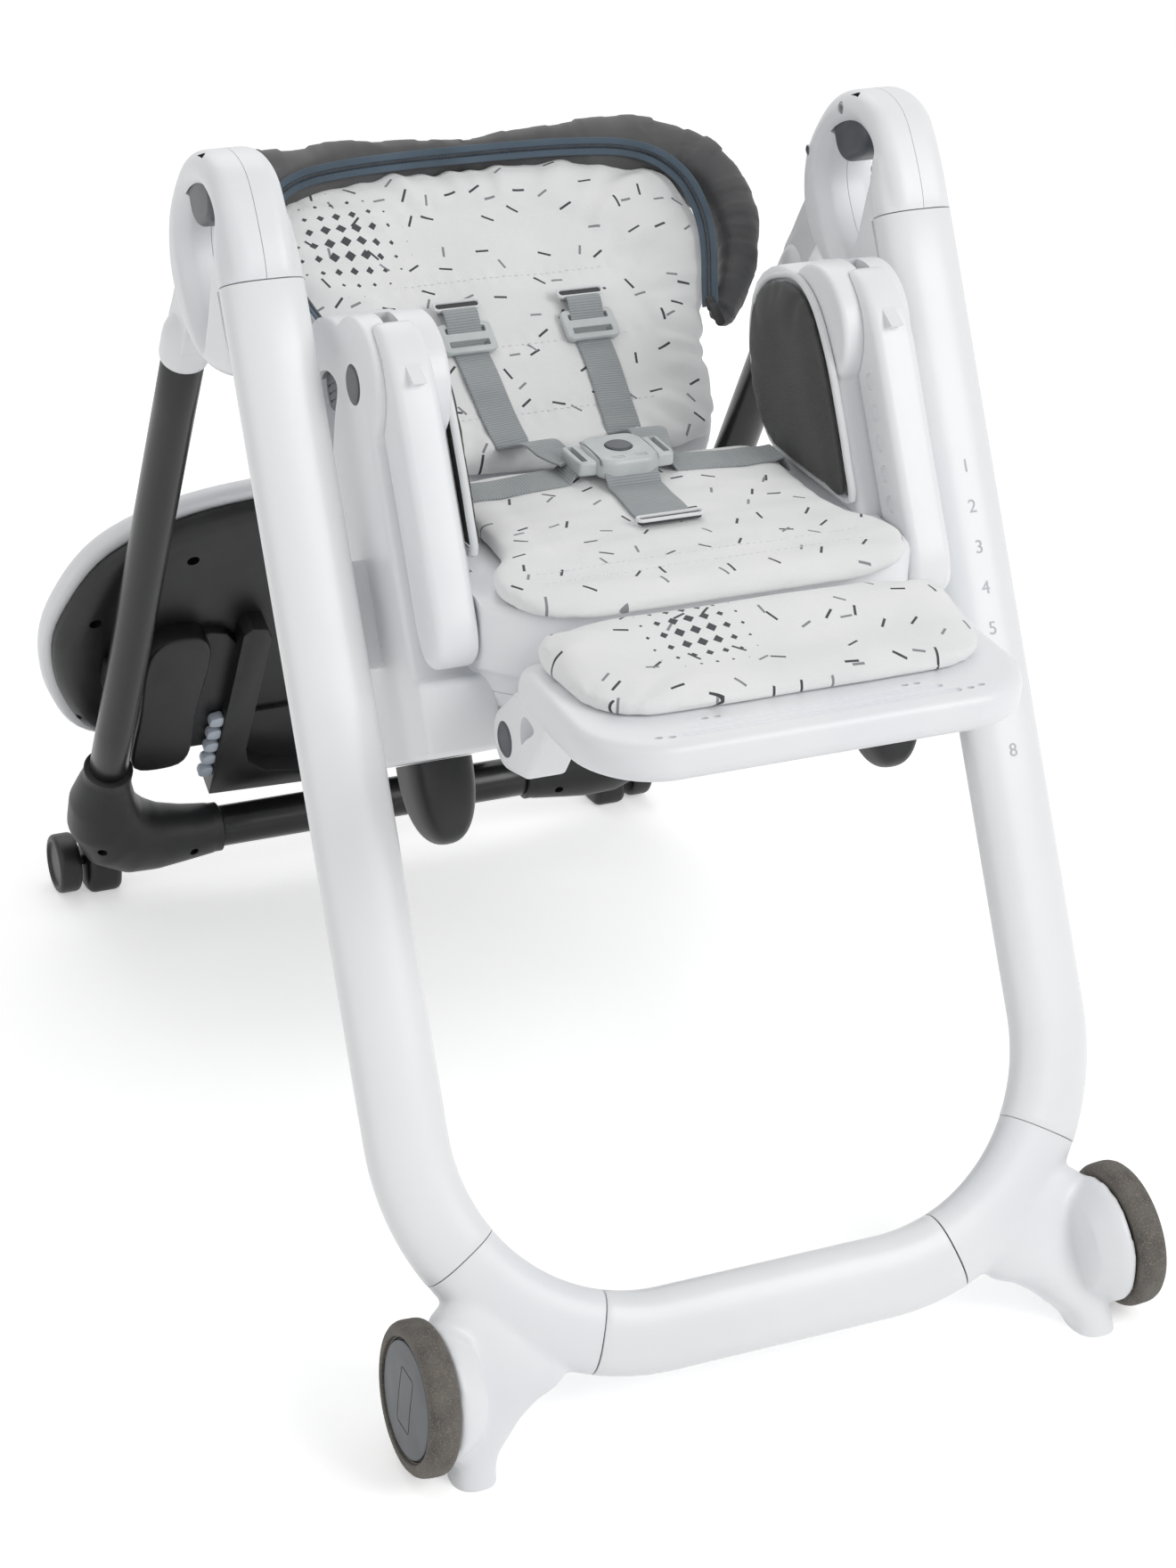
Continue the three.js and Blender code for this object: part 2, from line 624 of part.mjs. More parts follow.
function makeArmrest() {
  const plate = sidePlate(smoothShape(SLAB_OUTLINE, 34), ARM_X[0], ARM_X[1], 4);
  const slab = cut(plate, rod(HEAD_RADIUS + GAP, ARM_X[0] - 5, ARM_X[1] + 5, ...ARM_PIVOT, 36));
  const web = box(TONGUE_X, [-62, ARM_PIVOT[0]], [ARM_PIVOT[1] - 12, ARM_PIVOT[1] + 12]);
  const knob = rod(16, ...TONGUE_X, ...ARM_PIVOT, 20);
  const pinHole = rod(5, 150, 175, ...ARM_PIVOT, 16);
  const notches = [];
  for (let i = 0; i < 5; i += 1) {
    const oval = roundedShape(-57, -120 - i * 20, -47, -108 - i * 20, [5, 5, 5, 5]);
    notches.push(sidePlate(oval, ARM_X[0] - 1, ARM_X[0] + 3, 0, 2));
  }
  return cut(join(slab, web, knob), pinHole, ...notches);
}

function makeArmPad() {
  const outline = smoothShape([
    [-34, -188], [-37, -140], [-36, -90], [-26, -50], [4, -30], [44, -30], [72, -52], [78, -92], [70, -130],
    [36, -150], [0, -170],
  ], 36);
  return sidePlate(outline, POD_X[0] - 13, POD_X[0] - GAP, 4);
}

addPair(legs, 'pod', makePod(), WHITE);
addPair(legs, 'armrest', makeArmrest(), WHITE);
addPair(legs, 'arm_pad', makeArmPad(), DARK_CLOTH);
addPair(legs, 'arm_button', rod(ARM_BUTTON_RADIUS, POD_X[1] - 4, POD_X[1] + 0.6, ...ARM_PIVOT, 20), SLATE);
addPair(legs, 'height_lever', softBox([POD_X[1] - 14, POD_X[1] - 5.6], [29.6, 55.4], [-80, -52], 3), SLATE);
addPair(legs, 'slider', softBox([137, 181], [2, 54], [-362, -308 - GAP], 12), BLACK);

// ---- seat ----
function podRoom(side) {
  const room = sidePlate(podShape(GAP), POD_X[0] - GAP, POD_X[1] + 40);
  const placed = room.applyMatrix4(legs.matrix);
  return side > 0 ? placed : mirrored(placed);
}

function sliderRoom(side) {
  const room = box([134, 230], [-6, 62], [-372, -300]).applyMatrix4(legs.matrix);
  return side > 0 ? room : mirrored(room);
}

// Room for the lower end of the armrest beside the tub.
function armRoom(side) {
  const room = box([ARM_X[0] - 1.5, 230], [-76, -28], [-262, -20]).applyMatrix4(legs.matrix);
  return side > 0 ? room : mirrored(room);
}

const EAR_X = [101, 112];

function makeTub() {
  const plan = roundedShape(-157, -218, 157, -24, [62, 62, 8, 8]);
  const tub = flatPlate(plan, 453, SEAT_TOP, 6, 5);
  return cut(tub, podRoom(1), podRoom(-1), armRoom(1), armRoom(-1));
}

function hingeEar(x0, x1, [y, z], radius, foot) {
  const points = [];
  for (let i = 0; i < 12; i += 1) {
    const angle = (2 * Math.PI * i) / 12;
    points.push([y + Math.cos(angle) * radius, z + Math.sin(angle) * radius]);
  }
  const corners = [...points, ...foot].flatMap(([a, b]) => [
    new THREE.Vector3(x0, a, b), new THREE.Vector3(x1, a, b),
  ]);
  return new ConvexGeometry(corners);
}

function makeBase() {
  const plan = roundedShape(-152, -206, 152, 66, [60, 60, 30, 30]);
  const upper = flatPlate(plan, 424, 453 - GAP, 4, 5);
  const lower = flatPlate(roundedShape(-146, -200, 146, 60, [56, 56, 26, 26]), 404, 430, 4, 5);
  const ears = [-1, 1].flatMap((side) => {
    const span = [EAR_X[0] * side, EAR_X[1] * side].sort((a, b) => a - b);
    return [
      hingeEar(...span, RECLINE_HINGE, 11, [[-18, 445], [34, 445]]),
      hingeEar(...span, LEGREST_HINGE, 15, [[-196, 448], [-196, 408]]),
    ];
  });
  const holes = [rod(4, -130, 130, ...RECLINE_HINGE, 12), rod(4, -130, 130, ...LEGREST_HINGE, 12)];
  return cut(join(upper, lower, ...ears), ...holes, podRoom(1), podRoom(-1), sliderRoom(1), sliderRoom(-1));
}

addPiece(chair, 'seat_tub', makeTub(), WHITE);
addPiece(chair, 'seat_base', makeBase(), WHITE);
addPiece(chair, 'recline_pin', rod(4 - GAP, -112, 112, ...RECLINE_HINGE, 12), STEEL);
addPiece(chair, 'legrest_pin', rod(4 - GAP, -139, 139, ...LEGREST_HINGE, 12), STEEL);

// ---- legrest ----
const BRACKET_X = [120, 147];
const LEGREST_TOP = 480;
const LEG_BUTTON_RADIUS = 11;

function makeLegrest() {
  const plate = flatPlate(roundedShape(-148, -372, 148, -236, [50, 50, 16, 16]), 455, LEGREST_TOP, 8, 5);
  const brackets = [-1, 1].map((side) => {
    const span = [BRACKET_X[0] * side, BRACKET_X[1] * side].sort((a, b) => a - b);
    return hingeEar(...span, LEGREST_HINGE, 20, [[-238, 462], [-292, 462]]);
  });
  const groove = flatPlate(roundedShape(-84, -354, 84, -338, [8, 8, 8, 8]), LEGREST_TOP - 2, LEGREST_TOP + 3);
  const pinHole = rod(4, -150, 150, ...LEGREST_HINGE, 12);
  const seats = [-1, 1].map((side) => {
    const span = [140 * side, 150 * side].sort((a, b) => a - b);
    return rod(LEG_BUTTON_RADIUS + GAP, ...span, ...LEGREST_HINGE, 20);
  });
  return cut(join(plate, ...brackets), groove, pinHole, ...seats);
}

const PAD_THICK = 16;
addPiece(chair, 'legrest', makeLegrest(), WHITE);
addPair(chair, 'legrest_button', rod(LEG_BUTTON_RADIUS, 143, 148, ...LEGREST_HINGE, 20), SLATE);
const legPadPlan = roundedShape(-112, -328, 112, -238, [34, 34, 10, 10]);
addPiece(chair, 'legrest_pad', flatPlate(legPadPlan, LEGREST_TOP + GAP, LEGREST_TOP + PAD_THICK, 5), PADDING);
const seatPadPlan = roundedShape(-119, -234, 119, -24, [30, 30, 8, 8]);
addPiece(chair, 'seat_pad', flatPlate(seatPadPlan, SEAT_TOP + GAP, SEAT_TOP + PAD_THICK + 4, 6), PADDING);

// ---- backrest ----
// Half widths of the backrest at heights up its length; the lower part passes between the pods.
function archShape(points, divisions = 44) {
  const left = points.slice().reverse().map(([x, y]) => [-x, y]);
  return smoothShape([...points, ...left], divisions);
}

function makeBackShell() {
  const outline = archShape([[106, 20], [121, 60], [122, 130], [139, 165], [146, 215], [131, 252], [69, 268]]);
  const panel = flatPlate(outline, -16, -3, 3);
  const knuckle = join(rod(10, -98, 98, 0, 0, 24), box([-98, 98], [0, 34], [-14, -5]));
  return cut(join(panel, knuckle), rod(4, -130, 130, 0, 0, 16));
}

function makeBackPad() {
  const outline = archShape([[104, 26], [119, 60], [121, 130], [140, 166], [147, 214], [131, 252], [68, 267]]);
  return flatPlate(outline, -3 + GAP, 24, 8);
}

function makeHood() {
  const outer = archShape([[128, 146], [168, 158], [193, 196], [192, 246], [162, 284], [80, 296]], 52);
  const inner = archShape([[124, 100], [127, 140], [146, 168], [151, 216], [136, 256], [71, 272]]);
  const band = flatPlate(outer, -24, 32, 14);
  return cut(band, flatPlate(inner, -40, 50));
}

function makeReclineLever() {
  const grip = softBox([-42, 42], [214, 240], [-34, -24], 4);
  return join(grip, softBox([-16, 16], [219, 235], [-29, -16 - GAP], 2));
}

addPiece(back, 'back_shell', makeBackShell(), WHITE);
addPiece(back, 'back_pad', makeBackPad(), PADDING);
addPiece(back, 'hood', makeHood(), DARK_CLOTH);
addPiece(back, 'recline_lever', makeReclineLever(), SLATE);

// ---- harness, laid on the pads ----
const STRAP_THICK = 2.4;
const strapLow = 24 + GAP;
const padTop = SEAT_TOP + PAD_THICK + 4 + GAP;
const strapTop = padTop + STRAP_THICK;
addPair(back, 'shoulder_strap', softBox([30, 58], [36, 150], [strapLow, strapLow + STRAP_THICK], 1), WEBBING);
addPair(chair, 'waist_strap', softBox([36, 112], [-72, -42], [padTop, strapTop], 1), WEBBING);
addPiece(chair, 'crotch_strap', softBox([-19, 19], [-142, -84], [padTop, strapTop], 1), WEBBING);
const BUCKLE_Y = -58;
const buckleTop = padTop + 15;

function makeBuckle() {
  const shell = softBox([-34, 34], [BUCKLE_Y - 24, BUCKLE_Y + 24], [padTop, buckleTop], 5, 2);
  return cut(shell, upright(9 + GAP, buckleTop - 5, buckleTop + 2));
}

function upright(radius, z0, z1) {
  return new THREE.CylinderGeometry(radius, radius, z1 - z0, 20)
    .rotateX(Math.PI / 2)
    .translate(0, BUCKLE_Y, (z0 + z1) / 2);
}

addPiece(chair, 'buckle', makeBuckle(), CLIP);
addPiece(chair, 'buckle_button', upright(9, buckleTop - 2.5, buckleTop + 1.2), SLATE);

export default chair;
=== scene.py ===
import json
import math

import bmesh
import bpy
from mathutils import Matrix, Vector, noise
from mathutils.kdtree import KDTree


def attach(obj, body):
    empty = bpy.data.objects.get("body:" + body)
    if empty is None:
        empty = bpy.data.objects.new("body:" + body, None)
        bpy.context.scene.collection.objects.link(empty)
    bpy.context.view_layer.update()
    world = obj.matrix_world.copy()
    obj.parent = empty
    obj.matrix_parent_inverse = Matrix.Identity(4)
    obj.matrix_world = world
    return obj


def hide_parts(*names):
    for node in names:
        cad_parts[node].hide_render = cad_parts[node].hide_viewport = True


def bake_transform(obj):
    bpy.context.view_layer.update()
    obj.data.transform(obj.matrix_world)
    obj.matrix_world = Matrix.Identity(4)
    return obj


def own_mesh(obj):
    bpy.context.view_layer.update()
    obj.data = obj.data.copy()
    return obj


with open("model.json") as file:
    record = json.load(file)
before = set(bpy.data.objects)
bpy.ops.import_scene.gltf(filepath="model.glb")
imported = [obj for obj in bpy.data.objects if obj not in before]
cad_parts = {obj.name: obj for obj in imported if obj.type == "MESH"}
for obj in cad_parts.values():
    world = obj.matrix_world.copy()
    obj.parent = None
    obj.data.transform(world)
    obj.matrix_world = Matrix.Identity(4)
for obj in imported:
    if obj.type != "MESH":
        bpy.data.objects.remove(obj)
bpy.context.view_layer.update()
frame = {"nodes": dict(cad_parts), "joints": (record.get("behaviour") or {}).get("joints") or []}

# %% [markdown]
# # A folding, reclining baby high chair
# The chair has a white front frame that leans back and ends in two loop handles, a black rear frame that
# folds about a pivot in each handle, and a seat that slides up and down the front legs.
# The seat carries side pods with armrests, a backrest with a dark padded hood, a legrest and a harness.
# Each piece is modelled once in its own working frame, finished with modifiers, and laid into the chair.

joints = {joint["name"]: joint for joint in frame["joints"]}

# %% [markdown]
# ## Working frames
# A leaning leg is hard to model straight in room coordinates. A working frame has one axis along the leg,
# so a ring round the leg is a flat ring there. A matrix takes the finished mesh into the chair.
# The joints already say where each frame lies: a slide's axis is the leg's direction, and a hinge is a corner.

# %% Working frames from the joints
def working_frame(origin, x, y, z):
    columns = Matrix((x, y, z)).transposed().to_4x4()
    return Matrix.Translation(origin) @ columns


SIDEWAYS = Vector((1, 0, 0))
fold_pivot = Vector(joints["frame_fold"]["pos_m"])
recline_hinge = Vector(joints["back_recline"]["pos_m"])

leg_up = Vector(joints["seat_height"]["axis"]).normalized()
leg_back = Vector((0, leg_up.z, -leg_up.y))
LEG = working_frame(fold_pivot - 0.101 * leg_back - 0.038 * leg_up, SIDEWAYS, leg_back, leg_up)

rear_out = Vector(joints["tray_unclip"]["axis"]).normalized()
REAR = working_frame(fold_pivot, SIDEWAYS, rear_out, Vector((0, -rear_out.z, rear_out.y)))

back_up = Vector(joints["recline_lever_pull"]["axis"]).normalized()
BACK = working_frame(recline_hinge, SIDEWAYS, back_up, Vector((0, -back_up.z, back_up.y)))

spin_joint = joints["front_wheel_right_spin"]
axle = Vector(spin_joint["axis"]).normalized()
WHEEL = working_frame(Vector(spin_joint["pos_m"]), axle, Vector((0, 1, 0)), axle.cross(Vector((0, 1, 0))))

SEAT = Matrix.Translation((0, recline_hinge.y, 0))
print("leg lean", round(math.degrees(math.asin(leg_up.y)), 2), "back slope",
      round(math.degrees(math.asin(back_up.z)), 1))

# %% [markdown]
# ## The camera
# The camera stands in front of the chair, towards -X, and looks down at about 27 degrees. Its axes are built
# from a heading, a tilt and a small roll, which is how a tripod head is set.

# %% Camera
HEADING, TILT, ROLL, LENS_MM = 0.4286, -0.4754, 0.0376, 79.7727273
looking = Vector((math.sin(HEADING) * math.cos(TILT), math.cos(HEADING) * math.cos(TILT), math.sin(TILT)))
level_right = Vector((math.cos(HEADING), -math.sin(HEADING), 0))
level_up = level_right.cross(looking)
right = math.cos(ROLL) * level_right + math.sin(ROLL) * level_up
up = math.cos(ROLL) * level_up - math.sin(ROLL) * level_right
bpy.ops.object.camera_add()
camera = bpy.context.object
camera.matrix_world = working_frame(Vector((-0.885, -1.9672, 1.3689)) + SEAT.translation, right, up, -looking)
camera.data.lens = LENS_MM
camera.data.sensor_width = 36
camera.data.clip_end = 50
bpy.context.scene.camera = camera
print("camera lens", round(camera.data.lens, 1), "mm")

# %% [markdown]
# ## Colour and nodes
# Paint charts give colours as sRGB hex values, and shaders work in linear light, so one function converts.
# One more function adds a node with its settings and links, which keeps each material short to read.

# %% Colour and node helpers
def linear(code):
    parts = [int(code[i:i + 2], 16) / 255 for i in (1, 3, 5)]
    return [c / 12.92 if c <= 0.04045 else ((c + 0.055) / 1.055) ** 2.4 for c in parts] + [1]


def node(tree, kind, settings=None, **inputs):
    made = tree.nodes.new(kind)
    for key, value in (settings or {}).items():
        setattr(made, key, value)
    for key, value in inputs.items():
        socket = made.inputs[int(key[1:])] if key[1:].isdigit() else made.inputs[key.replace("_", " ")]
        if isinstance(value, bpy.types.NodeSocket):
            tree.links.new(value, socket)
        else:
            socket.default_value = value
    return made


def maths(tree, operation, *values, kind="ShaderNodeMath"):
    """A shader node's arithmetic on sockets or plain values."""
    return node(tree, kind, {"operation": operation}, **{f"_{i}": value for i, value in enumerate(values)}).outputs


def new_finish(name, **shader):
    finish = bpy.data.materials.new(name)
    finish.use_nodes = True
    tree = finish.node_tree
    main = tree.nodes["Principled BSDF"]
    for key, value in shader.items():
        main.inputs[key.replace("_", " ")].default_value = value
    return finish, tree, main


def mottle(tree, main, light, dark, scale, detail=4, low=0.4, high=0.6, where=None):
    place = where or node(tree, "ShaderNodeTexCoord").outputs["Object"]
    cloud = node(tree, "ShaderNodeTexNoise", Vector=place, Scale=scale, Detail=detail)
    ramp = node(tree, "ShaderNodeValToRGB", Fac=cloud.outputs["Fac"])
    ramp.color_ramp.elements[0].position, ramp.color_ramp.elements[0].color = low, linear(dark)
    ramp.color_ramp.elements[1].position, ramp.color_ramp.elements[1].color = high, linear(light)
    tree.links.new(ramp.outputs["Color"], main.inputs["Base Color"])
    return ramp


# Mixes a colour into the base colour by a mask. It lays the cover's print, the tyre's bloom and the painted shade
# between the webbing's ribs.
def print_and_shade_on(tree, main, below, ink_and_shade, shade):
    layer = node(tree, "ShaderNodeMix", {"data_type": "RGBA"})
    tree.links.new(ink_and_shade, layer.inputs[0])
    tree.links.new(below, layer.inputs[6])
    layer.inputs[7].default_value = linear(shade)
    tree.links.new(layer.outputs[2], main.inputs["Base Color"])
    return layer.outputs[2]


def emboss(tree, main, height, distance, strength=1.0):
    bump = node(tree, "ShaderNodeBump", Height=height, Distance=distance, Strength=strength)
    tree.links.new(bump.outputs["Normal"], main.inputs["Normal"])
    return bump


def grain(tree, main, size, depth, strength=0.5):
    place = node(tree, "ShaderNodeTexCoord").outputs["Object"]
    fine = node(tree, "ShaderNodeTexNoise", Vector=place, Scale=1 / size, Detail=2)
    return emboss(tree, main, fine.outputs["Fac"], depth, strength)


def hard_finish(name, light, dark, cloud, bumps=None, **shader):
    """A moulded, painted or plated surface: a faint cloud of two tones and, if given, a fine grain."""
    finish, tree, main = new_finish(name, **shader)
    mottle(tree, main, light, dark, cloud)
    if bumps:
        grain(tree, main, *bumps)
    return finish


print("white reads as", [round(c, 3) for c in linear("#eceef0")])

# %% [markdown]
# ## Hard finishes
# ABS is the usual plastic for such mouldings. It comes from a polished or lightly sparked mould, so it has a
# satin gloss and a very faint grain. The tubes are powder coated: the powder melts into a skin with a slight
# orange peel. Real grain is about 0.1 mm and is drawn at about 0.8 mm, because finer grain wouldn't show.

# %% White moulded ABS and white powder coat
WHITE_ABS = hard_finish("white_moulded_abs", "#f2f3f5", "#edeff2", 9, (0.0008, 0.00004, 0.35), Roughness=0.36, IOR=1.53)

WHITE_COAT = hard_finish("white_powder_coat", "#f3f4f5", "#eef0f2", 6, (0.0022, 0.00005, 0.3), Roughness=0.3, IOR=1.5)
print("white finishes", WHITE_ABS.name, WHITE_COAT.name)

# %% Black moulded plastic, black paint, slate plastic
BLACK_ABS = hard_finish("black_grained_polypropylene", "#18181a", "#101012", 30, (0.0011, 0.00008, 0.5), Roughness=0.42,
                        IOR=1.49)

BLACK_PAINT = hard_finish("black_satin_paint", "#131315", "#0d0d0f", 12, (0.0025, 0.00004, 0.3), Roughness=0.27,
                          IOR=1.5)

SLATE_ABS = hard_finish("slate_moulded_abs", "#53575c", "#474b50", 40, (0.0009, 0.00006, 0.4), Roughness=0.4, IOR=1.53)

# Painted shade: a dark grey for plates set inside seams, the handle and strap slits, where there is only shade.
PAINTED_SHADE = hard_finish("shadow_dark_core", "#4b4c4e", "#3d3e40", 20, Roughness=0.8)

TEETH_NYLON = hard_finish("pale_blue_nylon", "#c9d2dd", "#bcc6d2", 30, (0.001, 0.00004), Roughness=0.45, IOR=1.53)

CLIP_ACETAL = hard_finish("light_grey_acetal", "#cdd1d2", "#c3c8c9", 40, (0.0009, 0.00004, 0.35), Roughness=0.33,
                          IOR=1.48)

PRINT_GREY = hard_finish("grey_pad_print", "#bfc3c7", "#b6babf", 60, Roughness=0.5)

STEEL = hard_finish("zinc_plated_steel", "#b4b6b8", "#9b9ea1", 90, (0.0015, 0.00003), Metallic=1.0, Roughness=0.33)
print("hard finishes", len(bpy.data.materials))

# %% [markdown]
# The tyres are a soft thermoplastic rubber. Handling leaves it with a brownish bloom over grey, so its colour
# is two layers of cloudy noise, a broad one and a fine speckle of about 1 mm.

# %% Mottled tyre rubber
TYRE_RUBBER, tree, main = new_finish("grey_tyre_rubber", Roughness=0.78, IOR=1.5)
place = node(tree, "ShaderNodeTexCoord").outputs["Object"]
broad = mottle(tree, main, "#6b6863", "#55524f", 60, 6, 0.35, 0.65, place)
speckle = node(tree, "ShaderNodeTexNoise", Vector=place, Scale=900.0, Detail=3)
spots = node(tree, "ShaderNodeMapRange", Value=speckle.outputs["Fac"], From_Min=0.52, From_Max=0.66)
print_and_shade_on(tree, main, broad.outputs["Color"], spots.outputs[0], "#80776a")
emboss(tree, main, speckle.outputs["Fac"], 0.0002, 0.5)
print("tyre rubber", TYRE_RUBBER.name)

# %% [markdown]
# ## Cloth finishes
# Every cloth piece carries an attribute named weave: each point's place in the piece's own flat pattern, in
# metres. A printed or woven pattern reads it, so the pattern follows the cloth when the piece is bent.
# The cover's real threads are about 0.3 mm apart and are drawn at 0.9 mm. The webbing's ribs are real size.

# %% A woven surface
def woven(tree, thread, turn=0.0):
    """The height of a plain weave whose threads are this far apart."""
    place = node(tree, "ShaderNodeAttribute", {"attribute_name": "weave"}).outputs["Vector"]
    laid = node(tree, "ShaderNodeMapping", Vector=place, Rotation=(0, 0, turn))
    waves = []
    for direction in ("X", "Y"):
        wave = node(tree, "ShaderNodeTexWave", {"bands_direction": direction}, Vector=laid.outputs[0],
                    Scale=math.pi / 10 / thread, Distortion=0.4, Detail=1.0)
        waves.append(wave.outputs["Fac"])
    return place, maths(tree, "MULTIPLY", *waves)[0]


def cloth_finish(name, light, dark, thread, depth, sheen, roughness=0.9):
    finish, tree, main = new_finish(name, Roughness=roughness, Sheen_Weight=sheen, Sheen_Roughness=0.5)
    place, threads = woven(tree, thread)
    ramp = mottle(tree, main, light, dark, 14, 5, 0.35, 0.65, place)
    emboss(tree, main, threads, depth, 0.55)
    return finish, tree, main, place, ramp


DARK_CLOTH = cloth_finish("charcoal_polyester", "#474746", "#3e3e3e", 0.0011, 0.00018, 0.12, 0.72)[0]
PIPING_CLOTH = cloth_finish("white_bias_piping", "#eff0f1", "#e6e8ea", 0.001, 0.0001, 0.1)[0]
ZIP_TAPE = cloth_finish("blue_grey_zip_tape", "#5a6a78", "#4b5965", 0.0012, 0.0002, 0.1)[0]
print("plain cloths", DARK_CLOTH.name, PIPING_CLOTH.name, ZIP_TAPE.name)

# %% [markdown]
# The cover is white cotton with a scattered print of short dashes and dots. A Voronoi texture deals one
# random point to each cell; the place inside a cell, turned by the cell's own random angle, draws a dash.

# %% Printed cover cloth
EDGE_BLUR = 0.0003


def scattered_dashes(tree, place, cell, half_length, half_width, seed):
    moved = node(tree, "ShaderNodeMapping", Vector=place, Location=(seed, seed * 0.37, 0),
                 Scale=(1 / cell, 1 / cell, 0))
    cells = node(tree, "ShaderNodeTexVoronoi", {"voronoi_dimensions": "2D"}, Vector=moved.outputs[0], Scale=1.0,
                 Randomness=0.75)
    inside = maths(tree, "SUBTRACT", moved.outputs[0], cells.outputs["Position"], kind="ShaderNodeVectorMath")[0]
    chance = node(tree, "ShaderNodeSeparateColor", Color=cells.outputs["Color"])
    angle = maths(tree, "MULTIPLY", chance.outputs[0], 6.2832)[0]
    turned = node(tree, "ShaderNodeVectorRotate", {"rotation_type": "Z_AXIS"}, Vector=inside, Angle=angle)
    flat = node(tree, "ShaderNodeSeparateXYZ", Vector=turned.outputs[0])
    inked = None
    for socket, reach in ((flat.outputs[0], half_length), (flat.outputs[1], half_width)):
        size = maths(tree, "ABSOLUTE", socket)[0]
        edge = node(tree, "ShaderNodeMapRange", Value=size, From_Min=reach / cell, From_Max=(reach - EDGE_BLUR) / cell)
        inked = maths(tree, "MULTIPLY", inked, edge.outputs[0])[0] if inked else edge.outputs[0]
    return inked


def printed_cover(name, motif=None):
    finish, tree, main, place, ramp = cloth_finish(name, "#f3f3f3", "#eceded", 0.0012, 0.00012, 0.1)
    colour = ramp.outputs["Color"]
    for cell, length, width, shade, seed in ((0.031, 0.0048, 0.0010, "#46484c", 0.3),
                                             (0.041, 0.0042, 0.0010, "#8f9296", 7.1)):
        ink_and_shade = scattered_dashes(tree, place, cell, length, width, seed)
        colour = print_and_shade_on(tree, main, colour, ink_and_shade, shade)
    if motif:
        ink_and_shade = diamond_patch(tree, place, *motif)
        colour = print_and_shade_on(tree, main, colour, ink_and_shade, "#4d4f53")
    return finish


def diamond_patch(tree, place, middle, radius, pitch):
    """A round patch of small diamonds that shrink towards its edge."""
    vectors = "ShaderNodeVectorMath"
    centred = maths(tree, "SUBTRACT", place, (*middle, 0), kind=vectors)[0]
    flat = maths(tree, "MULTIPLY", centred, (1, 1, 0), kind=vectors)[0]
    reach = maths(tree, "LENGTH", flat, kind=vectors)["Value"]
    size = node(tree, "ShaderNodeMapRange", Value=reach, From_Min=radius, From_Max=radius * 0.3,
                To_Min=0.0, To_Max=0.36)
    tiles = maths(tree, "WRAP", flat, (pitch / 2, pitch / 2, 1), (-pitch / 2, -pitch / 2, -1), kind=vectors)[0]
    tall = maths(tree, "ABSOLUTE", tiles, kind=vectors)[0]
    parts = node(tree, "ShaderNodeSeparateXYZ", Vector=tall).outputs
    share = maths(tree, "DIVIDE", maths(tree, "ADD", parts[0], parts[1])[0], pitch)[0]
    return maths(tree, "LESS_THAN", share, size.outputs[0])[0]


COVER = printed_cover("printed_white_cotton")
COVER_PATCH = printed_cover("printed_white_cotton_with_patch", ((-0.045, -0.275), 0.042, 0.0105))
COVER_BACK = printed_cover("printed_white_cotton_for_back", ((-0.105, 0.215), 0.05, 0.0115))
print("covers", COVER.name, COVER_PATCH.name, COVER_BACK.name)

# %% [markdown]
# Harness webbing is woven flat with ribs across its width, about 1.6 mm apart, and a denser selvedge along
# each edge. The weave attribute's first number runs across the strap and its second along it. The grooves between
# the ribs get a darker grey as painted shade.

# %% Ribbed webbing
WEBBING, tree, main = new_finish("grey_ribbed_webbing", Roughness=0.75, Sheen_Weight=0.15)
place = node(tree, "ShaderNodeAttribute", {"attribute_name": "weave"}).outputs["Vector"]
ribs = node(tree, "ShaderNodeTexWave", {"bands_direction": "Y"}, Vector=place, Scale=math.pi / 10 / 0.0019,
            Distortion=0.6, Detail=1.0)
ribbed = mottle(tree, main, "#adb2b4", "#a0a5a8", 40, 3, 0.3, 0.7, place)
# Painted shade: the grooves between the ribs, where the wave is low, get the darker grey.
ink_and_shade = node(tree, "ShaderNodeMapRange", Value=ribs.outputs["Fac"], From_Min=0.75, From_Max=0.0, To_Max=0.55)
print_and_shade_on(tree, main, ribbed.outputs["Color"], ink_and_shade.outputs[0], "#7e8386")
emboss(tree, main, ribs.outputs["Fac"], 0.0004, 0.7)
print("webbing", WEBBING.name)

# %% [markdown]
# ## Modelling helpers
# Most of the chair is rings joined into skins: a tube, a moulding or a strap is a circle that is extruded
# from place to place and shaped at each stop. A plate is the same thing with only two stops.
# A filled circle keeps its first face when it is extruded, so the skin closes by itself.

# %% Rings and outlines
def oval(centre, across, deep, half_width, half_depth, sides=40, squareness=2.5):
    ring = []
    for i in range(sides):
        c, s = math.cos(math.tau * i / sides), math.sin(math.tau * i / sides)
        a = math.copysign(abs(c) ** (2 / squareness), c) * half_width
        b = math.copysign(abs(s) ** (2 / squareness), s) * half_depth
        ring.append(Vector(centre) + Vector(across) * a + Vector(deep) * b)
    return ring


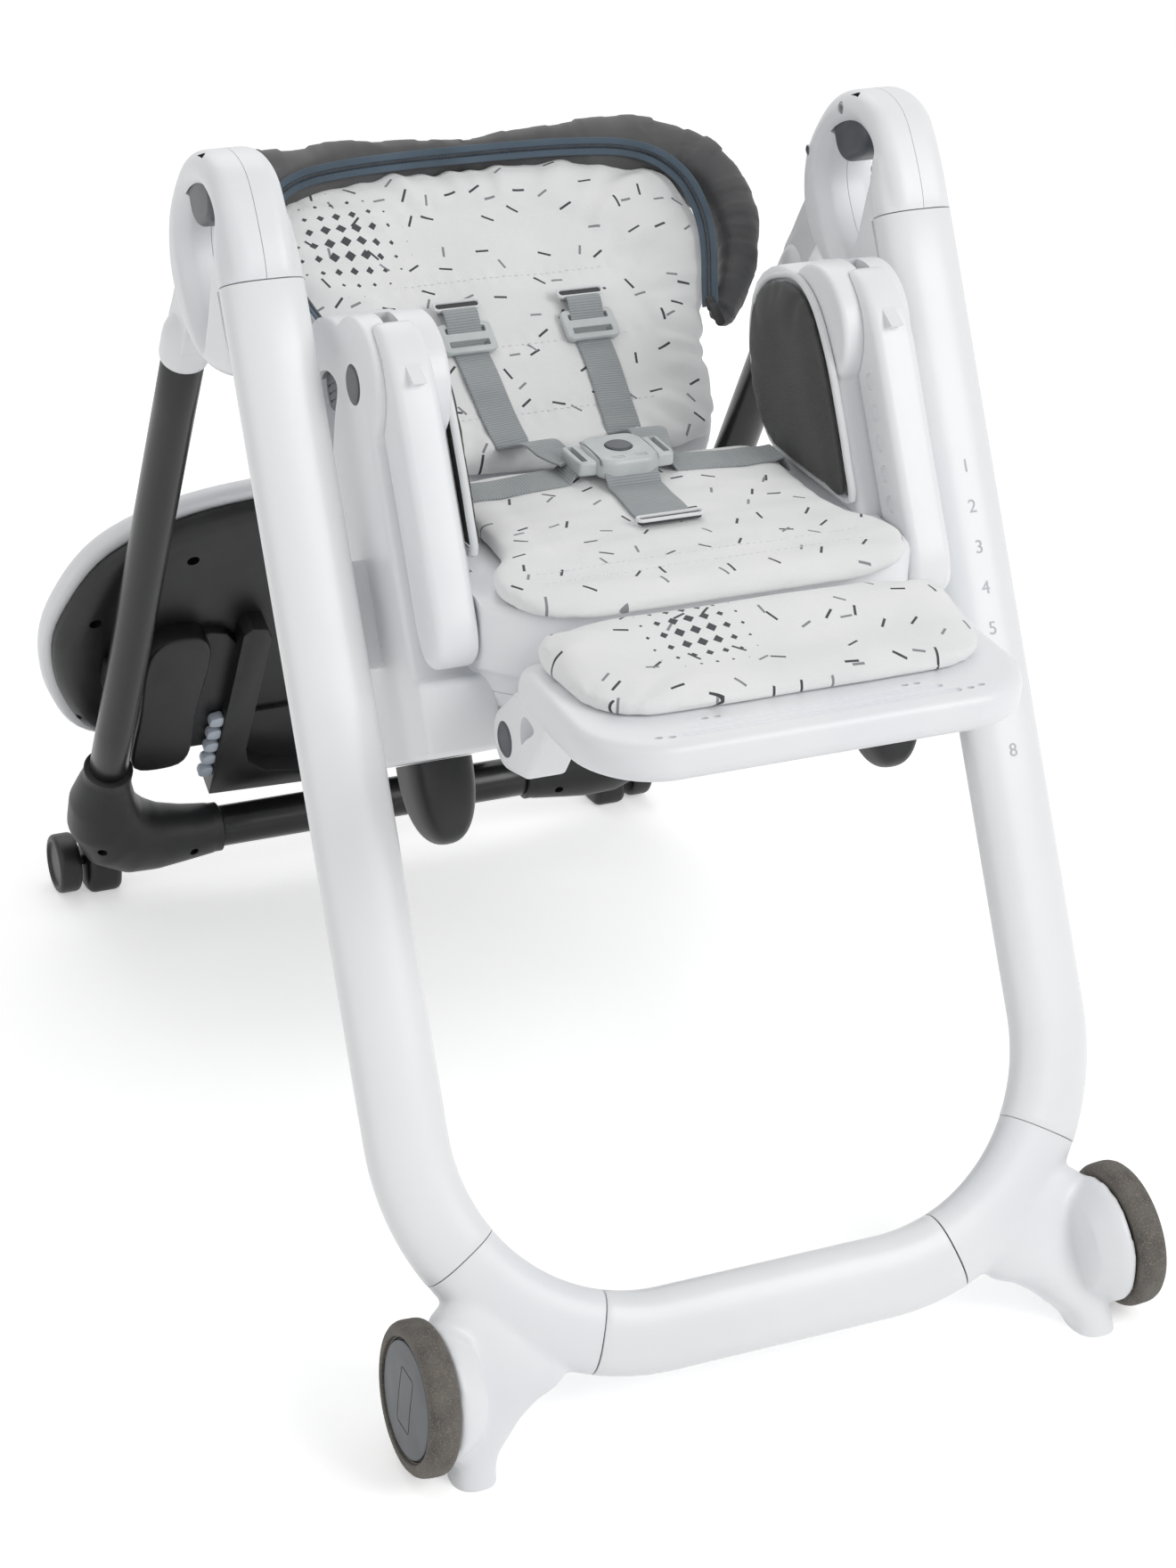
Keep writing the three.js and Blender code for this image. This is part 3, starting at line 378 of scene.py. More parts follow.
def smooth_outline(points, count):
    """Evenly spaced points on a closed smooth curve through the given ones."""
    n = len(points)
    dense = []
    for i in range(n):
        p0, p1, p2, p3 = (Vector((*points[(i + k) % n], 0)) for k in (-1, 0, 1, 2))
        t1 = max((p1 - p0).length, 1e-6) ** 0.5
        t2 = t1 + max((p2 - p1).length, 1e-6) ** 0.5
        t3 = t2 + max((p3 - p2).length, 1e-6) ** 0.5
        for k in range(24):
            t = t1 + (t2 - t1) * k / 24
            a1 = p0 * (t1 - t) / t1 + p1 * t / t1
            a2 = p1 * (t2 - t) / (t2 - t1) + p2 * (t - t1) / (t2 - t1)
            a3 = p2 * (t3 - t) / (t3 - t2) + p3 * (t - t2) / (t3 - t2)
            b1 = a1 * (t2 - t) / t2 + a2 * t / t2
            b2 = a2 * (t3 - t) / (t3 - t1) + a3 * (t - t1) / (t3 - t1)
            dense.append(b1 * (t2 - t) / (t2 - t1) + b2 * (t - t1) / (t2 - t1))
    lengths = [(dense[(i + 1) % len(dense)] - p).length for i, p in enumerate(dense)]
    step, walked, out, due = sum(lengths) / count, 0.0, [], 0.0
    for i, p in enumerate(dense):
        while due < walked + lengths[i] and len(out) < count:
            q = p.lerp(dense[(i + 1) % len(dense)], (due - walked) / lengths[i])
            out.append((q.x, q.y))
            due += step
        walked += lengths[i]
    return out


def rounded_rectangle(x0, y0, x1, y1, radii, steps=8):
    """An oblong with round corners, of one radius or of four, from the low left corner anticlockwise."""
    r00, r10, r11, r01 = radii if isinstance(radii, list) else [radii] * 4
    outline = []
    for cx, cy, r, start in ((x1 - r10, y0 + r10, r10, -90), (x1 - r11, y1 - r11, r11, 0),
                             (x0 + r01, y1 - r01, r01, 90), (x0 + r00, y0 + r00, r00, 180)):
        for k in range(steps + 1):
            angle = math.radians(start + 90 * k / steps)
            outline.append((cx + r * math.cos(angle), cy + r * math.sin(angle)))
    return outline


def circle(x, y, across, tall, sides):
    turns = [math.tau * i / sides for i in range(sides)]
    return [(x + across * math.cos(turn), y + tall * math.sin(turn)) for turn in turns]


def arc(x, y, radius, degrees):
    turns = [math.radians(angle) for angle in degrees]
    return [(x + radius * math.cos(turn), y + radius * math.sin(turn)) for turn in turns]


def oblong(x0, y0, x1, y1):
    return [(x0, y0), (x1, y0), (x1, y1), (x0, y1)]


def mirrored(half, *middle):
    """These points, the middle ones, and the same points backwards on the other side."""
    return [*half, *middle, *((-x, *rest) for x, *rest in reversed(half))]


print("a ring has", len(oval((0, 0, 0), (1, 0, 0), (0, 1, 0), 1, 1)), "points")

# %% The loft, which makes most pieces
def start_fresh():
    if bpy.context.object and bpy.context.object.mode != "OBJECT":
        bpy.ops.object.mode_set(mode="OBJECT")
    bpy.ops.object.select_all(action="DESELECT")


def pick(piece):
    start_fresh()
    piece.select_set(True)
    bpy.context.view_layer.objects.active = piece
    return piece


def edit(piece):
    pick(piece)
    bpy.ops.object.mode_set(mode="EDIT")
    bpy.ops.mesh.select_all(action="SELECT")


def loft(name, rings, frame_matrix=None):
    start_fresh()
    bpy.ops.mesh.primitive_circle_add(vertices=len(rings[0]), radius=0.01, fill_type="NGON")
    piece = bpy.context.object
    piece.name = piece.data.name = name
    for corner, spot in zip(piece.data.vertices, rings[0]):
        corner.co = spot
    bpy.ops.object.mode_set(mode="EDIT")
    bpy.ops.mesh.select_all(action="SELECT")
    order = {tuple(v.co): i for i, v in enumerate(bmesh.from_edit_mesh(piece.data).verts)}
    for ring in rings[1:]:
        bpy.ops.mesh.extrude_region_move()
        mesh = bmesh.from_edit_mesh(piece.data)
        ends = [(v, order[tuple(v.co)]) for v in mesh.verts if v.select]
        for corner, i in ends:
            corner.co = ring[i]
        order = {tuple(corner.co): i for corner, i in ends}
        bmesh.update_edit_mesh(piece.data)
    bpy.ops.mesh.select_all(action="SELECT")
    bpy.ops.mesh.normals_make_consistent(inside=False)
    bpy.ops.object.mode_set(mode="OBJECT")
    if frame_matrix:
        piece.data.transform(frame_matrix)
    return piece


# Where an outline's two numbers and the depth go in a working frame.
UPRIGHT_SIDE = Matrix(((0, 0, 1, 0), (1, 0, 0, 0), (0, 1, 0, 0), (0, 0, 0, 1)))
FACING_FRONT = Matrix(((1, 0, 0, 0), (0, 0, 1, 0), (0, 1, 0, 0), (0, 0, 0, 1)))
LYING_FLAT = Matrix.Identity(4)


def apply_modifier(piece, kind, **settings):
    pick(piece)
    added = piece.modifiers.new(kind.title(), kind)
    for key, value in settings.items():
        setattr(added, key, value)
    bpy.ops.object.modifier_apply(modifier=added.name)
    return piece


def soften(piece, width, segments=3, angle=40):
    return apply_modifier(piece, "BEVEL", width=width, segments=segments, limit_method="ANGLE",
                          angle_limit=math.radians(angle), harden_normals=False)


def plate(name, outline, low, high, frame_matrix, lay=UPRIGHT_SIDE, edge=0.002, segments=3):
    rings = [[Vector((a, b, c)) for a, b in outline] for c in (low, high)]
    piece = loft(name, rings, lay)
    if lay.determinant() < 0:
        piece.data.flip_normals()
    if edge:
        soften(piece, edge, segments)
    piece.data.transform(frame_matrix)
    return piece


def rod(name, radius, x0, x1, y, z, frame_matrix, sides=32, edge=0.0006):
    return plate(name, circle(y, z, radius, radius, sides), x0, x1, frame_matrix, UPRIGHT_SIDE, edge, 2)


def carve(piece, *tools):
    for tool in tools:
        apply_modifier(piece, "BOOLEAN", object=tool, operation="DIFFERENCE", solver="EXACT")
        bpy.data.objects.remove(tool)
    return piece


def weld(piece, *others):
    for other in others:
        apply_modifier(piece, "BOOLEAN", object=other, operation="UNION", solver="EXACT")
        bpy.data.objects.remove(other)
    return piece


def melt(piece, voxel, rounds):
    """Runs the surfaces of joined shapes into one another, as a mould maker's fillets do."""
    apply_modifier(piece, "REMESH", mode="VOXEL", voxel_size=voxel, use_smooth_shade=True)
    return apply_modifier(piece, "SMOOTH", factor=0.5, iterations=rounds)


def trim(piece, point, outwards):
    edit(piece)
    bpy.ops.mesh.bisect(plane_co=point, plane_no=outwards, use_fill=True, clear_outer=True)
    bpy.ops.object.mode_set(mode="OBJECT")
    return piece


def smooth(piece, angle=35):
    pick(piece)
    bpy.ops.object.shade_smooth_by_angle(angle=math.radians(angle))
    return piece


def lay_weave(piece, frame_matrix):
    """Stores each point's place in the flat pattern of its working frame."""
    back = frame_matrix.inverted()
    spots = piece.data.attributes.new("weave", "FLOAT_VECTOR", "POINT")
    for corner in piece.data.vertices:
        spots.data[corner.index].vector = back @ corner.co
    return piece


def settle(piece, finish, body, stands_for=(), angle=35):
    """Gives a finished piece its finish and its body, and hides the CAD nodes that it stands for."""
    if angle:
        smooth(piece, angle)
    piece.data.materials.clear()
    piece.data.materials.append(finish)
    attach(piece, body)
    if stands_for:
        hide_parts(*stands_for)
    return piece


# The left side's cloth is cut from another part of the bolt, so its print isn't a mirror image.
PRINT_SHIFT = 0.173


def twin(piece, name):
    """The same piece for the other side of the chair."""
    start_fresh()
    copy = piece.copy()
    copy.data = piece.data.copy()
    copy.name = copy.data.name = name
    bpy.context.scene.collection.objects.link(copy)
    copy.data.transform(Matrix.Scale(-1, 4, SIDEWAYS))
    if "weave" in copy.data.attributes:
        for spot in copy.data.attributes["weave"].data:
            spot.vector = (-spot.vector[0] + PRINT_SHIFT, spot.vector[1], spot.vector[2])
    edit(copy)
    bpy.ops.mesh.normals_make_consistent(inside=False)
    bpy.ops.object.mode_set(mode="OBJECT")
    return copy


def settle_pair(piece, finish, body, node_name=None, angle=35, name=None):
    """Settles a right-hand piece, and its twin on the left. {} in the body's name holds the side."""
    base = name or piece.name
    other = twin(piece, "left_" + base)
    piece.name = piece.data.name = "right_" + base
    for side, each in (("right", piece), ("left", other)):
        nodes = (side + "_" + node_name,) if node_name else ()
        settle(each, finish, body.format(side), nodes, angle)
    return piece, other


print("helpers ready")

# %% [markdown]
# ## Front leg tubes and crossbar
# Each leg is a straight oval tube that bends inwards at the bottom to meet the foot moulding. The section is
# a rounded oval, 54 mm wide and 32 mm deep. It could be a bevelled curve, but rings keep the section square
# to the bend and end exactly on the seam.

# %% Leg measures
LEG_X, LEG_HALF_WIDTH, LEG_HALF_DEPTH = 0.228, 0.027, 0.016
BEND_RADIUS, BEND_START = 0.15, -0.538
SEAM_TO_LEG, SEAM_TO_BAR = 31, 71.5
SEAM = math.degrees(0.0005 / BEND_RADIUS)


def bend_ring(degrees, side=1, grow=0.0):
    angle = math.radians(degrees)
    out = Vector((math.cos(angle) * side, 0, -math.sin(angle)))
    centre = Vector(((LEG_X - BEND_RADIUS) * side, 0, BEND_START)) + out * BEND_RADIUS
    return oval(centre, out, (0, 1, 0), LEG_HALF_WIDTH + grow, LEG_HALF_DEPTH + grow)


def bend_rings(start, end, steps, side=1):
    return [bend_ring(start + (end - start) * i / steps, side) for i in range(steps + 1)]


def straight_ring(u):
    return oval((LEG_X, 0, u), (1, 0, 0), (0, 1, 0), LEG_HALF_WIDTH, LEG_HALF_DEPTH)


tube_rings = [straight_ring(-0.0006), *(straight_ring(-0.05 * i) for i in range(1, 11)),
              *bend_rings(0, SEAM_TO_LEG, 14)]
tube = soften(loft("front_tube", tube_rings, LEG), 0.0007, 2, 60)
tubes = settle_pair(tube, WHITE_COAT, "front_frame", "front_tube")
bar_rings = bend_rings(SEAM_TO_BAR + SEAM, 90, 8) + bend_rings(90, SEAM_TO_BAR + SEAM, 8, -1)
bar = soften(loft("front_crossbar", bar_rings, LEG), 0.0007, 2, 60)
settle(bar, WHITE_COAT, "front_frame", ["front_bar"])
print("leg tubes and bar", [len(piece.data.polygons) for piece in (*tubes, bar)])

# %% [markdown]
# A joint between two mouldings shows as a thin dark line of shade. Light that falls in the gap has to meet something
# dark, so a slightly smaller dark core sits inside each joint as painted shade.

# %% Dark cores in the seams
core_rings = [bend_ring(a, grow=-0.0012) for a in (SEAM_TO_LEG - 2, SEAM_TO_LEG, SEAM_TO_LEG + 2)]
settle_pair(loft("leg_seam_core", core_rings, LEG), PAINTED_SHADE, "front_frame")
core_rings = [bend_ring(a, grow=-0.0012) for a in (SEAM_TO_BAR - 2, SEAM_TO_BAR, SEAM_TO_BAR + 2)]
settle_pair(loft("bar_seam_core", core_rings, LEG), PAINTED_SHADE, "front_frame")
print("seam cores", 4)

# %% [markdown]
# ## Front feet
# The foot is one moulding: the corner of the frame with a short leg that runs into it in wide fillets.
# Three shapes, the bend, the leg and a boss for the wheel, are joined by a voxel remesh and smoothed, which
# melts the inner corners as a mould's fillets do.
# The ends are then cut flat where the tubes begin, and on the floor.

# %% Foot mouldings
foot = loft("front_foot", bend_rings(SEAM_TO_LEG - 8, SEAM_TO_BAR + 8, 18), LEG)
column_stations = [(-0.638, 0.2, 0.016, 0.013), (-0.648, 0.2055, 0.0255, 0.0148), (-0.660, 0.204, 0.0322, 0.0156),
                   (-0.676, 0.1985, 0.038, 0.0158), (-0.692, 0.1945, 0.043, 0.0158), (-0.7, 0.1935, 0.044, 0.0158),
                   (-0.7068, 0.1975, 0.04, 0.0157), (-0.712, 0.2046, 0.0326, 0.0156), (-0.721, 0.211, 0.0256, 0.0155),
                   (-0.7305, 0.2155, 0.0205, 0.0153), (-0.738, 0.2192, 0.0164, 0.015), (-0.746, 0.2215, 0.015, 0.0148),
                   (-0.752, 0.222, 0.0148, 0.0147), (-0.79, 0.2225, 0.0145, 0.0145)]
column_rings = [oval((x, 0, u), (1, 0, 0), (0, 1, 0), w, d) for u, x, w, d in column_stations]
boss_stations = [(-0.034, 0.031), (-0.026, 0.037), (-0.02, 0.041), (-0.015, 0.043), (-0.0118, 0.043), (-0.011, 0.042)]
boss_rings = [oval((x, 0, 0), (0, 1, 0), (0, 0, 1), r, r, 48, 2) for x, r in boss_stations]
weld(foot, loft("column", column_rings, LEG), loft("wheel_boss", boss_rings, WHEEL))
melt(foot, 0.0022, 9)
for degrees, sign in ((SEAM_TO_LEG + SEAM, -1), (SEAM_TO_BAR - SEAM, 1)):
    angle = math.radians(degrees)
    radial = Vector((math.cos(angle), 0, -math.sin(angle)))
    along = Vector((-math.sin(angle), 0, -math.cos(angle))) * sign
    spot = LEG @ (Vector((LEG_X - BEND_RADIUS, 0, BEND_START)) + radial * BEND_RADIUS)
    trim(foot, spot, (LEG.to_3x3() @ along))
trim(foot, (0, 0, 0.0), (0, 0, -1))
feet = settle_pair(foot, WHITE_ABS, "front_frame", "front_foot", 50)
print("feet", len(feet[0].data.polygons), "faces each")

# %% [markdown]
# ## Front wheels
# A wheel is a turned shape, so its section is drawn once and spun round the axle. The tyre has soft
# shoulders. The hub cap is a slightly domed disc with a thin upright oblong groove in its middle.

# %% Wheel tools
def spun(name, profile, frame_matrix, steps=64):
    """Spins a closed profile of (radius, along the axle) round the X axis of its working frame."""
    start_fresh()
    bpy.ops.mesh.primitive_circle_add(vertices=len(profile), radius=0.01, fill_type="NOTHING")
    piece = bpy.context.object
    piece.name = piece.data.name = name
    for corner, (radius, along) in zip(piece.data.vertices, profile):
        corner.co = (along, 0, radius)
    bpy.ops.object.mode_set(mode="EDIT")
    bpy.ops.mesh.select_all(action="SELECT")
    bpy.ops.mesh.spin(steps=steps, angle=math.tau, center=(0, 0, 0), axis=(1, 0, 0))
    bpy.ops.mesh.select_all(action="SELECT")
    bpy.ops.mesh.remove_doubles(threshold=1e-5)
    bpy.ops.mesh.dissolve_degenerate(threshold=1e-6)
    bpy.ops.mesh.select_all(action="SELECT")
    bpy.ops.mesh.delete_loose()
    bpy.ops.mesh.select_all(action="SELECT")
    bpy.ops.mesh.normals_make_consistent(inside=False)
    bpy.ops.object.mode_set(mode="OBJECT")
    piece.data.transform(frame_matrix)
    return piece


def rounded_profile(points, fillets, steps=5):
    """A closed profile with round corners; a fillet of 0 keeps a corner sharp."""
    out, n = [], len(points)
    for i, radius in enumerate(fillets):
        before, here, after = (Vector(points[(i + k) % n]) for k in (-1, 0, 1))
        if not radius:
            out.append(tuple(here))
            continue
        one, two = (before - here).normalized(), (after - here).normalized()
        reach = radius / math.tan(one.angle(two) / 2)
        start, end = here + one * reach, here + two * reach
        for k in range(steps + 1):
            t = k / steps
            spot = start * (1 - t) ** 2 + here * 2 * t * (1 - t) + end * t ** 2
            out.append(tuple(spot))
    return out


print("front axle at", [round(c, 4) for c in WHEEL.translation])

# %% Front tyres and hubs
tyre_profile = rounded_profile(
    [(0.0385, -0.01), (0.049, -0.01), (0.049, 0.0098), (0.0398, 0.0098), (0.0398, 0.0072), (0.0385, 0.0072)],
    [0.0006, 0.0065, 0.0075, 0.001, 0.0004, 0.0004])
tyre = spun("front_tyre", tyre_profile, WHEEL, 72)
settle_pair(tyre, TYRE_RUBBER, "front_wheel_{}", "front_tyre", 40)
hub_profile = rounded_profile(
    [(0.0056, -0.0085), (0.0381, -0.0085), (0.0381, 0.0062), (0.0374, 0.0062), (0.0374, 0.0088), (0.0, 0.01),
     (0.0, 0.0066), (0.0056, 0.0066)],
    [0.0004, 0.0004, 0.0004, 0.0002, 0.0014, 0, 0, 0.0003])
hub = spun("front_hub", hub_profile, WHEEL, 72)
groove = plate("oblong_groove", rounded_rectangle(-0.01, -0.02, 0.01, 0.02, 0.003, 6), 0.0089, 0.012, WHEEL, edge=0)
carve(groove, plate("oblong_face", rounded_rectangle(-0.0092, -0.0192, 0.0092, 0.0192, 0.0022, 6), 0.008, 0.013, WHEEL,
                    edge=0))
carve(hub, groove)
settle_pair(hub, SLATE_ABS, "front_wheel_{}", "front_hub", 30)
print("front wheels", len(tyre.data.polygons), len(hub.data.polygons))

# %% [markdown]
# ## Loop handles
# Each leg ends in a ring that is held like a suitcase handle: a loop 46 mm thick with a three-cornered finger
# slot. It is moulded as two half shells with a parting line round the middle, and hides the fold pivot.
# A bevelled plate gives the ring; remeshing and smoothing roll its edges into the leg.

# %% Ring body
HANDLE_X, HANDLE_HALF = 0.229, 0.023
RING = [(-0.016, 0), (-0.017, 0.036), (-0.009, 0.068), (0.014, 0.087), (0.044, 0.093), (0.074, 0.085), (0.102, 0.067),
        (0.117, 0.038), (0.115, 0.01), (0.103, -0.014), (0.082, -0.034), (0.052, -0.047), (0.026, -0.052),
        (0.014, -0.047), (0.006, -0.03), (-0.006, -0.012)]
SLOT = [(0.005, 0.042), (0.018, 0.062), (0.044, 0.069), (0.07, 0.063), (0.084, 0.044), (0.085, 0.018), (0.077, -0.01),
        (0.068, -0.022), (0.057, -0.014), (0.028, 0.014)]
ring_edge = smooth_outline(RING, 110)
slot_edge = smooth_outline(SLOT, 72)
handle = plate("handle", ring_edge, HANDLE_X - HANDLE_HALF, HANDLE_X + HANDLE_HALF, LEG, edge=0.0115, segments=6)
tube_room = oblong(-0.04, -0.09, LEG_HALF_DEPTH + 0.0006, 0.0)
post_stations = [(-0.012, LEG_X, 0.027, 0.016, 0), (0.0, LEG_X, 0.027, 0.016, 0), (0.016, LEG_X, 0.0266, 0.0158, 0),
                 (0.036, LEG_X + 0.0004, 0.0245, 0.0125, -0.003), (0.054, HANDLE_X, 0.02, 0.008, -0.003)]
post = loft("post", [oval((x, v, u), (1, 0, 0), (0, 1, 0), w, d) for u, x, w, d, v in post_stations], LEG)
weld(handle, post)
flare = [(-0.0245, 1.24), (-0.02, 1.1), (-0.014, 1.01), (0.014, 1.01), (0.02, 1.1), (0.0245, 1.24)]
slot_rings = [[Vector((HANDLE_X + x, 0.05 + (a - 0.05) * k, 0.025 + (b - 0.025) * k)) for a, b in slot_edge]
              for x, k in flare]
carve(handle, loft("slot", slot_rings, LEG))
melt(handle, 0.0016, 7)
carve(handle, plate("room", tube_room, 0.19, 0.27, LEG, edge=0))
print("handle ring", len(handle.data.polygons), "faces")

# %% [markdown]
# The two shells are hollow where the rear leg's flat head turns between them. The pocket is the shape that
# the head sweeps while the frame folds, so it is drawn from the head's outline at a dozen fold angles.

# %% Pocket, button room and screw wells
PIVOT_V, PIVOT_U = 0.101, 0.038
first_turn = math.acos(leg_up.z) + math.acos(-(REAR.to_3x3() @ Vector((0, 0, -1))).z)
sweep = []
for i in range(13):
    turn = first_turn - math.radians(42) * i / 12
    for length, half in ((0.0, 0.0142), (0.13, 0.025)):
        for side in (-1, 1):
            sweep.append((PIVOT_V + math.sin(turn) * length + math.cos(turn) * half * side,
                          PIVOT_U - math.cos(turn) * length + math.sin(turn) * half * side))


def hull_of(spots):
    """The outline that a stretched band round these points would take."""
    spots = sorted(set(spots))
    halves = []
    for row in (spots, spots[::-1]):
        half = []
        for p in row:
            while len(half) > 1 and ((half[-1][0] - half[-2][0]) * (p[1] - half[-2][1])
                                     - (half[-1][1] - half[-2][1]) * (p[0] - half[-2][0])) <= 0:
                half.pop()
            half.append(p)
        halves += half[:-1]
    return halves


carve(handle,
      plate("pocket", hull_of(sweep), HANDLE_X - 0.0096, HANDLE_X + 0.0096, LEG, edge=0),
      rod("knob_room", 0.0142, HANDLE_X - 0.0096, HANDLE_X + 0.0096, PIVOT_V, PIVOT_U, LEG, edge=0),
      plate("button_room", rounded_rectangle(0.0134, 0.04, 0.0606, 0.087, 0.004, 4), HANDLE_X - 0.0192,
            HANDLE_X + 0.0192, LEG, edge=0))
SCREWS = [(0.093, 0.066), (0.0035, 0.032), (0.0505, -0.0375), (0.0335, 0.081)]
for v, u in SCREWS:
    carve(handle, rod("screw_well", 0.0042, HANDLE_X - 0.03, HANDLE_X - 0.0196, v, u, LEG, 24, 0))
print("handle with pocket", len(handle.data.polygons), "faces")

# %% Half shells and screws
outer = handle
inner = handle.copy()
inner.data = handle.data.copy()
bpy.context.scene.collection.objects.link(inner)
trim(inner, LEG @ Vector((HANDLE_X - 0.0002, 0, 0)), (1, 0, 0))
trim(outer, LEG @ Vector((HANDLE_X + 0.0002, 0, 0)), (-1, 0, 0))
settle_pair(outer, WHITE_ABS, "front_frame", "handle_outer", 40, name="handle_outer")
settle_pair(inner, WHITE_ABS, "front_frame", "handle_inner", 40, name="handle_inner")
for i, (v, u) in enumerate(SCREWS):
    head = rod(f"handle_screw_{i + 1}", 0.0036, HANDLE_X - 0.0222, HANDLE_X - 0.0194, v, u, LEG, 24, 0.0005)
    for wide, tall in ((0.0022, 0.0005), (0.0005, 0.0022)):
        bar = oblong(v - wide, u - tall, v + wide, u + tall)
        carve(head, plate("cross_slot", bar, HANDLE_X - 0.023, HANDLE_X - 0.0213, LEG, edge=0))
    settle_pair(head, STEEL, "front_frame")
# A dark plate between the two half shells paints the shade inside the handle.
core_edge = smooth_outline([(-0.012, 0.004), (-0.013, 0.036), (-0.005, 0.066), (0.002, 0.066), (-0.001, 0.045),
                            (0.006, 0.02), (0.008, 0.004)], 30)
core = plate("handle_core", core_edge, HANDLE_X - 0.004, HANDLE_X + 0.004, LEG, edge=0)
settle_pair(core, PAINTED_SHADE, "front_frame")
print("half shells and", 2 * len(SCREWS), "screws")

# %% [markdown]
# The fold button sits in the top of the finger slot, so that the fingers pull it up as they lift the handle.
# It is a rounded slate key with a shallow thumb groove.

# %% Fold buttons
button = plate("fold_button", rounded_rectangle(0.0142, 0.0462, 0.0598, 0.0798, [0.0165, 0.0165, 0.005, 0.005], 10),
               HANDLE_X - 0.0186, HANDLE_X + 0.0186, LEG, edge=0.0062, segments=6)
settle_pair(button, SLATE_ABS, "fold_button_{}", "fold_button", 30)
print("fold buttons", len(button.data.polygons))

# %% [markdown]
# ## Rear frame
# Two round black tubes lean the other way and meet a cross tube in corner mouldings. White heads join the
# tubes to the handles. The tubes could be cylinders, but a loft keeps their ends and the collars in one line.

# %% Rear heads and tubes
REAR_AXIS, TUBE_RADIUS = 0.007, 0.015


def round_rings(stations):
    return [oval((HANDLE_X, REAR_AXIS, w), (1, 0, 0), (0, 1, 0), r, r, 40, 2) for w, r in stations]


head_edge = smooth_outline([(-0.0132, 0), (-0.0094, 0.0094), (0, 0.0132), (0.0098, 0.0094), (0.0145, 0),
                            (0.0205, -0.025), (0.023, -0.06), (0.023, -0.086), (0.007, -0.094), (-0.009, -0.086),
                            (-0.009, -0.06), (-0.013, -0.025)], 64)
tongue = plate("rear_head", head_edge, HANDLE_X - 0.009, HANDLE_X + 0.009, REAR, edge=0.0015, segments=2)
sleeve_stations = [(-0.066, 0.009), (-0.0685, 0.0126), (-0.0725, 0.0152), (-0.078, 0.0168), (-0.086, 0.0173),
                   (-0.099, 0.0173), (-0.1025, 0.0167), (-0.104, 0.0154)]
weld(tongue, loft("sleeve", round_rings(sleeve_stations), REAR))
carve(tongue, rod("pin_hole", 0.0056, HANDLE_X - 0.02, HANDLE_X + 0.02, 0, 0, REAR, 32, 0))
settle_pair(tongue, WHITE_ABS, "rear_frame", "rear_head", 35)
tube_stations = [(w, TUBE_RADIUS) for w in (-0.1045, *(-0.1045 - 0.046 * i for i in range(1, 10)), -0.5698)]
rear_tube = soften(loft("rear_tube", round_rings(tube_stations), REAR), 0.0008, 2, 60)
settle_pair(rear_tube, BLACK_PAINT, "rear_frame", "rear_tube")
print("rear tubes", len(rear_tube.data.polygons))

# %% [markdown]
# The rear corners are fat elbows with a stepped collar at each end, where the tubes are pushed in and
# screwed. A pad under the bend carries the weight, and a small wheel beside it lets the chair roll when it
# is tipped.

# %% Rear corner mouldings
BAR_N, BAR_W, BAR_RADIUS = -0.005, -0.659, 0.0165
elbow_stations = [(0.229, 0.007, -0.576, 0.0178), (0.2298, 0.0065, -0.59, 0.021), (0.2302, 0.005, -0.608, 0.0258),
                  (0.2275, 0.0025, -0.627, 0.0298), (0.218, -0.0005, -0.644, 0.0316), (0.202, -0.003, -0.654, 0.0298),
                  (0.183, -0.0045, -0.658, 0.026), (0.161, BAR_N, BAR_W, 0.0224), (0.143, BAR_N, BAR_W, 0.0203),
                  (0.1365, BAR_N, BAR_W, 0.0197)]
elbow_rings = []
for i, (x, n, w, radius) in enumerate(elbow_stations):
    ahead = Vector(elbow_stations[min(i + 1, len(elbow_stations) - 1)][:3])
    behind = Vector(elbow_stations[max(i - 1, 0)][:3])
    along = (ahead - behind).normalized()
    across = Vector((0, 1, 0)).cross(along).normalized()
    elbow_rings.append(oval((x, n, w), across, along.cross(across), radius, radius, 40, 2.2))
elbow = loft("rear_corner", elbow_rings, REAR)
melt(elbow, 0.0022, 4)
WHEEL_X, WHEEL_Y, WHEEL_RADIUS = 0.25, 0.426, 0.024
sole_edge = smooth_outline([(WHEEL_Y - 0.022, 0.014), (WHEEL_Y - 0.017, 0.002), (WHEEL_Y - 0.004, -0.001),
                            (WHEEL_Y + 0.01, 0.0), (WHEEL_Y + 0.017, 0.012), (WHEEL_Y + 0.01, 0.046),
                            (WHEEL_Y - 0.018, 0.046)], 40)
sole = plate("sole", sole_edge, 0.2075, 0.2355, SEAT, edge=0.006)
well = rod("well", 0.0265, WHEEL_X - 0.0105, 0.29, WHEEL_Y, WHEEL_RADIUS, SEAT, 48, 0)
carve(elbow, well)
collars = [loft("collar_top", round_rings([(-0.5702, 0.0176), (-0.5712, 0.0192), (-0.5815, 0.0192), (-0.583, 0.018)]),
                REAR)]
collar_rings = [[Vector((x, n, w)) for n, w in circle(BAR_N, BAR_W, r, r, 40)]
                for x, r in ((0.1312, 0.0181), (0.1322, 0.0198), (0.1425, 0.0198), (0.144, 0.0186))]
collars.append(loft("collar_bar", collar_rings, REAR))
axle_stub = rod("axle_stub", 0.0038, 0.23, WHEEL_X + 0.003, WHEEL_Y, WHEEL_RADIUS, SEAT, 24, 0.0004)
weld(elbow, sole, *collars, axle_stub)
for x, w in ((0.236, -0.636), (0.158, BAR_W + 0.002)):
    well_rings = [[Vector((a, d, b)) for a, b in circle(x, w, 0.0036, 0.0036, 24)] for d in (-0.05, -0.019)]
    carve(elbow, loft("screw_well", well_rings, REAR))
trim(elbow, (0, 0, 0.0), (0, 0, -1))
